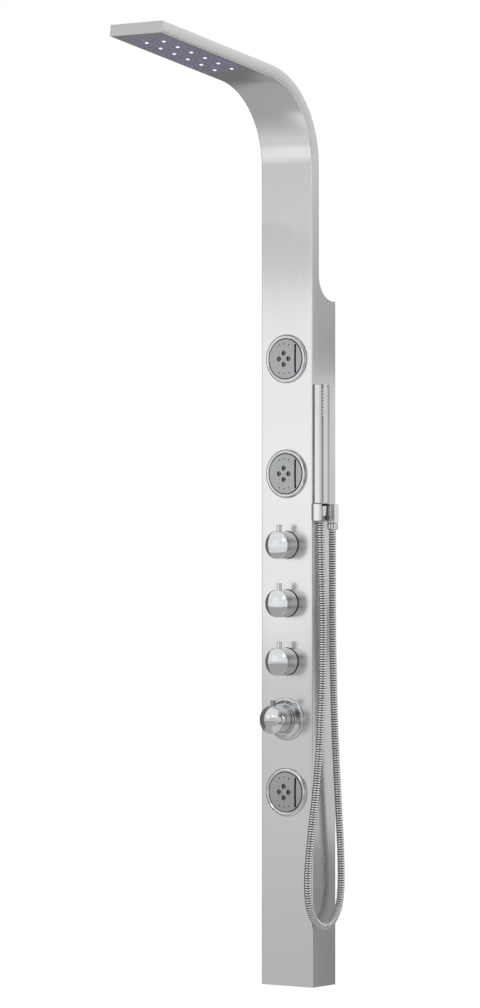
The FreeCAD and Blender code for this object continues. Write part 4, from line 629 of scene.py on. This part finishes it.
# Satin nickel over cast brass: a soft even mirror.
satin_nickel, tree, shader = finish_of("satin_nickel_plate", Metallic=1.0, Roughness=0.32)
shader.inputs["Base Color"].default_value = linear("#e2e3e4")
dress("outlet_block", satin_nickel)
dress("outlet_gasket", black_rubber)
grey_liner = moulded("grey_acetal", "#85878a", "#919396", 0.4, 1.11, 0.1)
dress("holder_bush", grey_liner)
HOSE_BORE = 3.6
NUT_TOP, NUT_LONG, NUT_RADIUS, NUT_NECK = 745.4, 11.6, 9.0, 7.0
NUT_THREAD, NUT_FLOOR, NUT_SHOULDER = 6.95, 9.4, 2.2
hose_nut_profile = rounded([
    (HOSE_BORE, -NUT_LONG), (NUT_NECK, -NUT_LONG, 0.4), (NUT_RADIUS, -NUT_FLOOR, 1.6),
    (NUT_RADIUS, -NUT_SHOULDER, 1.6), (NUT_NECK + 0.2, 0.0, 0.4), (NUT_THREAD, 0.0),
    (NUT_THREAD, -NUT_FLOOR), (HOSE_BORE, -NUT_FLOOR)])
seated(turned("outlet_nut", hose_nut_profile, (HOSE_X, OUTLET_Y, NUT_TOP), (0, 0, 1),
              bright_chrome, 96), "column", "hose_nut")
CONE_NUT_FOOT, CONE_NUT_LONG, CONE_NUT_NARROW, CONE_NUT_WIDE = 756.0, 16.0, 9.2, 10.2
CONE_NUT_THREAD, CONE_NUT_FLOOR = 8.35, 7.0
cone_profile = rounded([
    (HOSE_BORE, 0.0), (CONE_NUT_NARROW, 0.0, 0.4), (CONE_NUT_WIDE, CONE_NUT_LONG, 0.5),
    (CONE_NUT_THREAD, CONE_NUT_LONG), (CONE_NUT_THREAD, CONE_NUT_FLOOR),
    (HOSE_BORE, CONE_NUT_FLOOR)])
seated(turned("cone_nut", cone_profile, (HOSE_X, HOLDER_Y, CONE_NUT_FOOT), (0, 0, 1),
              bright_chrome, 96), "hose_end", "hose_cone_nut")
dress("hose_sleeve", grey_liner)
dress("handset_washer", black_rubber)


# ---- Handset ----------------------------------------------------------------------------
# A plain chromed brass tube with rounded ends; two columns of soft rubber nozzles stand a
# little proud near the top.

HANDSET_LOW, HANDSET_LONG, HANDSET_RADIUS = 775.6, 191.6, 13.3
STUB_RADIUS, STUB_LONG = 8.3, 12.3
handset_profile = rounded([
    (0.0, HANDSET_LONG), (HANDSET_RADIUS, HANDSET_LONG, 1.8), (HANDSET_RADIUS, 0.0, 1.6),
    (STUB_RADIUS, 0.0), (STUB_RADIUS, -STUB_LONG), (0.0, -STUB_LONG)], 10)
seated(turned("handset", handset_profile, (HOSE_X, HOLDER_Y, HANDSET_LOW), (0, 0, 1),
              bright_chrome, 160), "handset", "handset_body")


NOZZLE_FACING, NOZZLE_SPREAD = 20, 28


def soft_nozzles(rows, pitch, first, radius):
    """Rings of a small dome on the tube's wall: for each nozzle at turn q and height z the
    points are (R + e) along the turned front, plus n (cos t side + sin t up)."""
    shape = np.array([(1.3, -0.3), (1.3, 0.2), (1.1, 0.55), (0.8, 0.6), (0.55, 0.55),
                      (0.5, 0.1)]) * np.array([radius / 1.3, 1])
    turn = np.linspace(0, 2 * np.pi, 20, endpoint=False)
    angles = np.radians([NOZZLE_FACING - NOZZLE_SPREAD, NOZZLE_FACING + NOZZLE_SPREAD])
    heights = HANDSET_LOW + HANDSET_LONG - first - pitch * np.arange(rows)
    q, z = [g.ravel() for g in np.meshgrid(angles, heights)]
    out = np.stack([np.sin(q), -np.cos(q), 0 * q], 1)
    side = np.stack([np.cos(q), np.sin(q), 0 * q], 1)
    up = np.array([0, 0, 1.0])
    centre = np.array([HOSE_X, HOLDER_Y, 0]) + out * HANDSET_RADIUS + z[:, None] * up
    ring = (np.cos(turn)[None, :, None] * side[:, None]
            + np.sin(turn)[None, :, None] * up)
    points = (centre[:, None, None] + shape[None, :, 1, None, None] * out[:, None, None]
              + shape[None, :, 0, None, None] * ring[:, None])
    count = len(q)
    step = len(shape) * len(turn)
    one = grid_faces(len(shape), len(turn), False)
    faces = (np.arange(count)[:, None, None] * step + one[None]).reshape(-1, 4).tolist()
    for base in range(count):
        faces.append(list(range(base * step, base * step + len(turn))))
        last = base * step + step - len(turn)
        faces.append(list(range(last, last + len(turn)))[::-1])
    return points.reshape(-1, 3), faces


pale_rubber = moulded("pale_silicone", "#e4e6ea", "#eff1f4", 0.5, 1.11, 0.1)
nozzle_points, nozzle_faces = soft_nozzles(rows=9, pitch=5.08, first=9.4, radius=1.25)
seated(mesh_piece("handset_sprays", nozzle_points, nozzle_faces, pale_rubber),
       "handset", "handset_nozzles")


# ---- Studio -----------------------------------------------------------------------------
# White to the camera, and a room of grey bands to what the metal mirrors. A near cloth lets
# the round front lamp through, a far cloth and a flap light the arm's curve, and two soft
# lights behind on the right light the side. The floor only catches a soft shadow.

world = bpy.data.worlds.new("studio")
world.use_nodes = True
bpy.context.scene.world = world
tree = world.node_tree
tree.nodes.clear()
rays = add(tree, "ShaderNodeLightPath")
parts = add(tree, "ShaderNodeSeparateXYZ",
            {"Vector": add(tree, "ShaderNodeTexCoord").outputs["Generated"]})
rise = add(tree, "ShaderNodeMath", {0: parts.outputs["Z"], 1: 0.5, 2: 0.5},
           operation="MULTIPLY_ADD").outputs[0]
back = add(tree, "ShaderNodeMath", {0: parts.outputs["Y"], 1: 0.5, 2: 0.5},
           operation="MULTIPLY_ADD").outputs[0]
ahead = add(tree, "ShaderNodeMath", {0: parts.outputs["Y"], 1: -1.0}, operation="MULTIPLY")
turn = add(tree, "ShaderNodeMath", {0: parts.outputs["X"], 1: ahead.outputs[0]},
           operation="ARCTAN2")
turn = add(tree, "ShaderNodeMath", {0: turn.outputs[0], 1: 0.5 / math.pi, 2: 0.5},
           operation="MULTIPLY_ADD").outputs[0]
EDGE_BLUR = 0.008
BEHIND_FROM = -0.44


def levels_of(stops):
    """Grey levels of the room against the sine of the angle above the horizon."""
    return ramp(tree, rise, [(0.5 + sine / 2, level) for sine, level in stops])


def change(room, share, edge, stops):
    """The room with other grey levels where a share passes an edge."""
    mask = ramp(tree, share, [(edge - EDGE_BLUR, 0.0), (edge + EDGE_BLUR, 1.0)])
    return add(tree, "ShaderNodeMix", {0: mask, 4: room, 5: levels_of(stops)},
               data_type="VECTOR").outputs[1]


# Pale at the front left, dark behind it; then, by degrees right of the front, banded at the
# right front, bright at the right and darker behind.
room = levels_of([(-1.0, 0.52), (-0.1, 0.52), (-0.075, 0.90), (-0.02, 0.90), (0.0, 0.80),
                  (0.04, 0.72), (1.0, 0.72)])
room = change(room, back, 0.5 + BEHIND_FROM / 2, [(-1.0, 0.24), (0.0, 0.18), (1.0, 0.28)])
for start, stops in [
        (12, [(-1.0, 0.9), (-0.5, 0.8), (-0.42, 0.5), (-0.3, 0.6), (-0.1, 0.75),
              (0.3, 0.85), (0.42, 0.5), (0.52, 0.55), (1.0, 0.8)]),
        (27, [(-1.0, 0.9), (-0.5, 0.8), (-0.33, 0.1), (-0.2, 0.6), (-0.05, 0.9),
              (0.12, 0.9), (0.25, 0.5), (0.36, 0.12), (0.5, 0.55), (1.0, 0.8)]),
        (39, [(-1.0, 0.7), (-0.3, 0.4), (0.0, 0.4), (0.2, 0.15), (0.5, 0.08), (0.7, 0.3),
              (1.0, 0.6)]),
        (70, [(-1.0, 0.5), (0.0, 0.92), (1.0, 0.92)]),
        (130, [(-1.0, 0.24), (-0.09, 0.31), (-0.03, 0.25), (0.06, 0.20), (0.105, 1.25),
               (1.0, 1.1)])]:
    room = change(room, turn, 0.5 + start / 360, stops)
seen = add(tree, "ShaderNodeBackground", {"Color": linear("#ffffff"), "Strength": 1.0})
mirrored = add(tree, "ShaderNodeBackground", {"Color": room, "Strength": 1.0})
fill = add(tree, "ShaderNodeBackground", {"Color": linear("#ffffff"), "Strength": 0.7})
soft = add(tree, "ShaderNodeMixShader", {0: rays.outputs["Is Glossy Ray"],
                                         1: fill.outputs[0], 2: mirrored.outputs[0]})
both = add(tree, "ShaderNodeMixShader", {0: rays.outputs["Is Camera Ray"],
                                         1: soft.outputs[0], 2: seen.outputs[0]})
add(tree, "ShaderNodeOutputWorld", {"Surface": both.outputs[0]})


def soft_light(name, place, target, size, level, shape="RECTANGLE"):
    """A soft light that faces a point; its watts are level times pi times its area, so
    that it looks as bright as a background of that level."""
    data = bpy.data.lights.new(name, "AREA")
    data.shape = shape
    data.size, data.size_y = size
    area = size[0] * size[1] * (math.pi / 4 if shape == "ELLIPSE" else 1)
    data.energy = level * math.pi * area
    lamp = bpy.data.objects.new(name, data)
    lamp.location = place
    aim = Vector(target) - Vector(place)
    lamp.rotation_mode = "QUATERNION"
    lamp.rotation_quaternion = aim.to_track_quat("-Z", "Y")
    lamp.visible_camera = False
    bpy.context.scene.collection.objects.link(lamp)


soft_light("side_softbox", (0.36, 0.44, 0.80), (0.05, -0.03, 0.80), (0.5, 0.40), 0.42)
soft_light("low_softbox", (0.36, 0.44, 0.35), (0.05, -0.03, 0.35), (0.5, 0.32), 0.40)
soft_light("front_lamp", (-0.5, -4.0, 1.7), (0.0, -0.065, 0.7), (0.55, 0.55), 7.0, "ELLIPSE")

# A white matt floor, white to the camera; in the metal it is darker to the left of the
# column, as in the photograph.
FLOOR_REACH, FLOOR_LEVEL = 2400, -900
PATCH_SPAN = 4.0
PATCH_LEVELS = [(-0.9, 0.52), (-0.3, 0.75)]
floor_paint, tree, shader = finish_of("white_floor", Roughness=0.8)
shader.inputs["Base Color"].default_value = linear("#ffffff")
emit = add(tree, "ShaderNodeEmission", {"Color": linear("#ffffff"), "Strength": 1.0})
sideways = add(tree, "ShaderNodeSeparateXYZ",
               {"Vector": add(tree, "ShaderNodeTexCoord").outputs["Object"]}).outputs["X"]
share = add(tree, "ShaderNodeMath", {0: sideways, 1: 1 / PATCH_SPAN, 2: 0.5},
            operation="MULTIPLY_ADD").outputs[0]
patch = ramp(tree, share, [(0.5 + x / PATCH_SPAN, level) for x, level in PATCH_LEVELS])
dim = add(tree, "ShaderNodeEmission", {"Color": patch, "Strength": 1.0})
rays = add(tree, "ShaderNodeLightPath")
lit = add(tree, "ShaderNodeMixShader", {0: rays.outputs["Is Glossy Ray"],
                                        1: shader.outputs[0], 2: dim.outputs[0]})
shown = add(tree, "ShaderNodeMixShader", {0: rays.outputs["Is Camera Ray"],
                                          1: lit.outputs[0], 2: emit.outputs[0]})
tree.links.new(shown.outputs[0], tree.nodes["Material Output"].inputs["Surface"])
corners = [(x * FLOOR_REACH, y * FLOOR_REACH, FLOOR_LEVEL)
           for x, y in [(-1, -1), (1, -1), (1, 1), (-1, 1)]]
floor = mesh_piece("floor", corners, [(0, 1, 2, 3)], floor_paint)

# The cloth of the softbox glows and lets three tenths of the lamp behind it through.
diffuser, tree, _ = finish_of("softbox_cloth")
glow = add(tree, "ShaderNodeEmission", {"Color": linear("#ffffff"), "Strength": 0.88})
clear = add(tree, "ShaderNodeBsdfTransparent", {"Color": (0.3, 0.3, 0.3, 1)})
both = add(tree, "ShaderNodeAddShader", {0: glow.outputs[0], 1: clear.outputs[0]})
tree.links.new(both.outputs[0], tree.nodes["Material Output"].inputs["Surface"])
LEFT, RIGHT, BOTTOM, TOP = (-605, -429), (224, -683), 520, 1142
softbox = mesh_piece("softbox", [(*LEFT, BOTTOM), (*RIGHT, BOTTOM), (*RIGHT, TOP),
                                 (*LEFT, TOP)], [(0, 1, 2, 3)], diffuser)

# A far bright cloth that only the arm's curve mirrors, and a flap that slopes from the
# softbox's upper edge towards the column and keeps the softbox out of that curve.
FAR_LEFT, FAR_RIGHT, FAR_BOTTOM, FAR_TOP = (-1870, -1800), (-1050, -2380), 550, 1225
FLAP_RIGHT, FLAP_BACK, FLAP_CORNER = (-100, -584), (-100, -160), (-300, -130)
FLAP_TOP, FADE_FROM = 1225, 1150
far_cloth, tree, _ = finish_of("far_cloth")
glow = add(tree, "ShaderNodeEmission", {"Color": linear("#ffffff"), "Strength": 1.2})
tree.links.new(glow.outputs[0], tree.nodes["Material Output"].inputs["Surface"])
far_card = mesh_piece("far_card", [(*FAR_LEFT, FAR_BOTTOM), (*FAR_RIGHT, FAR_BOTTOM),
                                   (*FAR_RIGHT, FAR_TOP), (*FAR_LEFT, FAR_TOP)],
                      [(0, 1, 2, 3)], far_cloth)
flap_cloth, tree, _ = finish_of("flap_cloth")
under = add(tree, "ShaderNodeNewGeometry").outputs["Backfacing"]
height = add(tree, "ShaderNodeSeparateXYZ",
             {"Vector": add(tree, "ShaderNodeTexCoord").outputs["Object"]}).outputs["Z"]
height = add(tree, "ShaderNodeMath", {0: height, 1: FADE_FROM * MM},
             operation="SUBTRACT").outputs[0]
upper = ramp(tree, height, [(0.0, 1.1), ((FLAP_TOP - FADE_FROM) * MM, 0.45)], False)
tone = add(tree, "ShaderNodeMix", {0: under, 4: upper, 5: (0.75, 0.75, 0.75)},
           data_type="VECTOR").outputs[1]
glow = add(tree, "ShaderNodeEmission", {"Color": tone, "Strength": 1.0})
tree.links.new(glow.outputs[0], tree.nodes["Material Output"].inputs["Surface"])
flap = mesh_piece("flap", [(*LEFT, TOP), (*FLAP_RIGHT, TOP), (*FLAP_BACK, FLAP_TOP),
                           (*FLAP_CORNER, FLAP_TOP)], [(0, 1, 2, 3)], flap_cloth)
for card in (softbox, far_card, flap):
    card.visible_camera = False
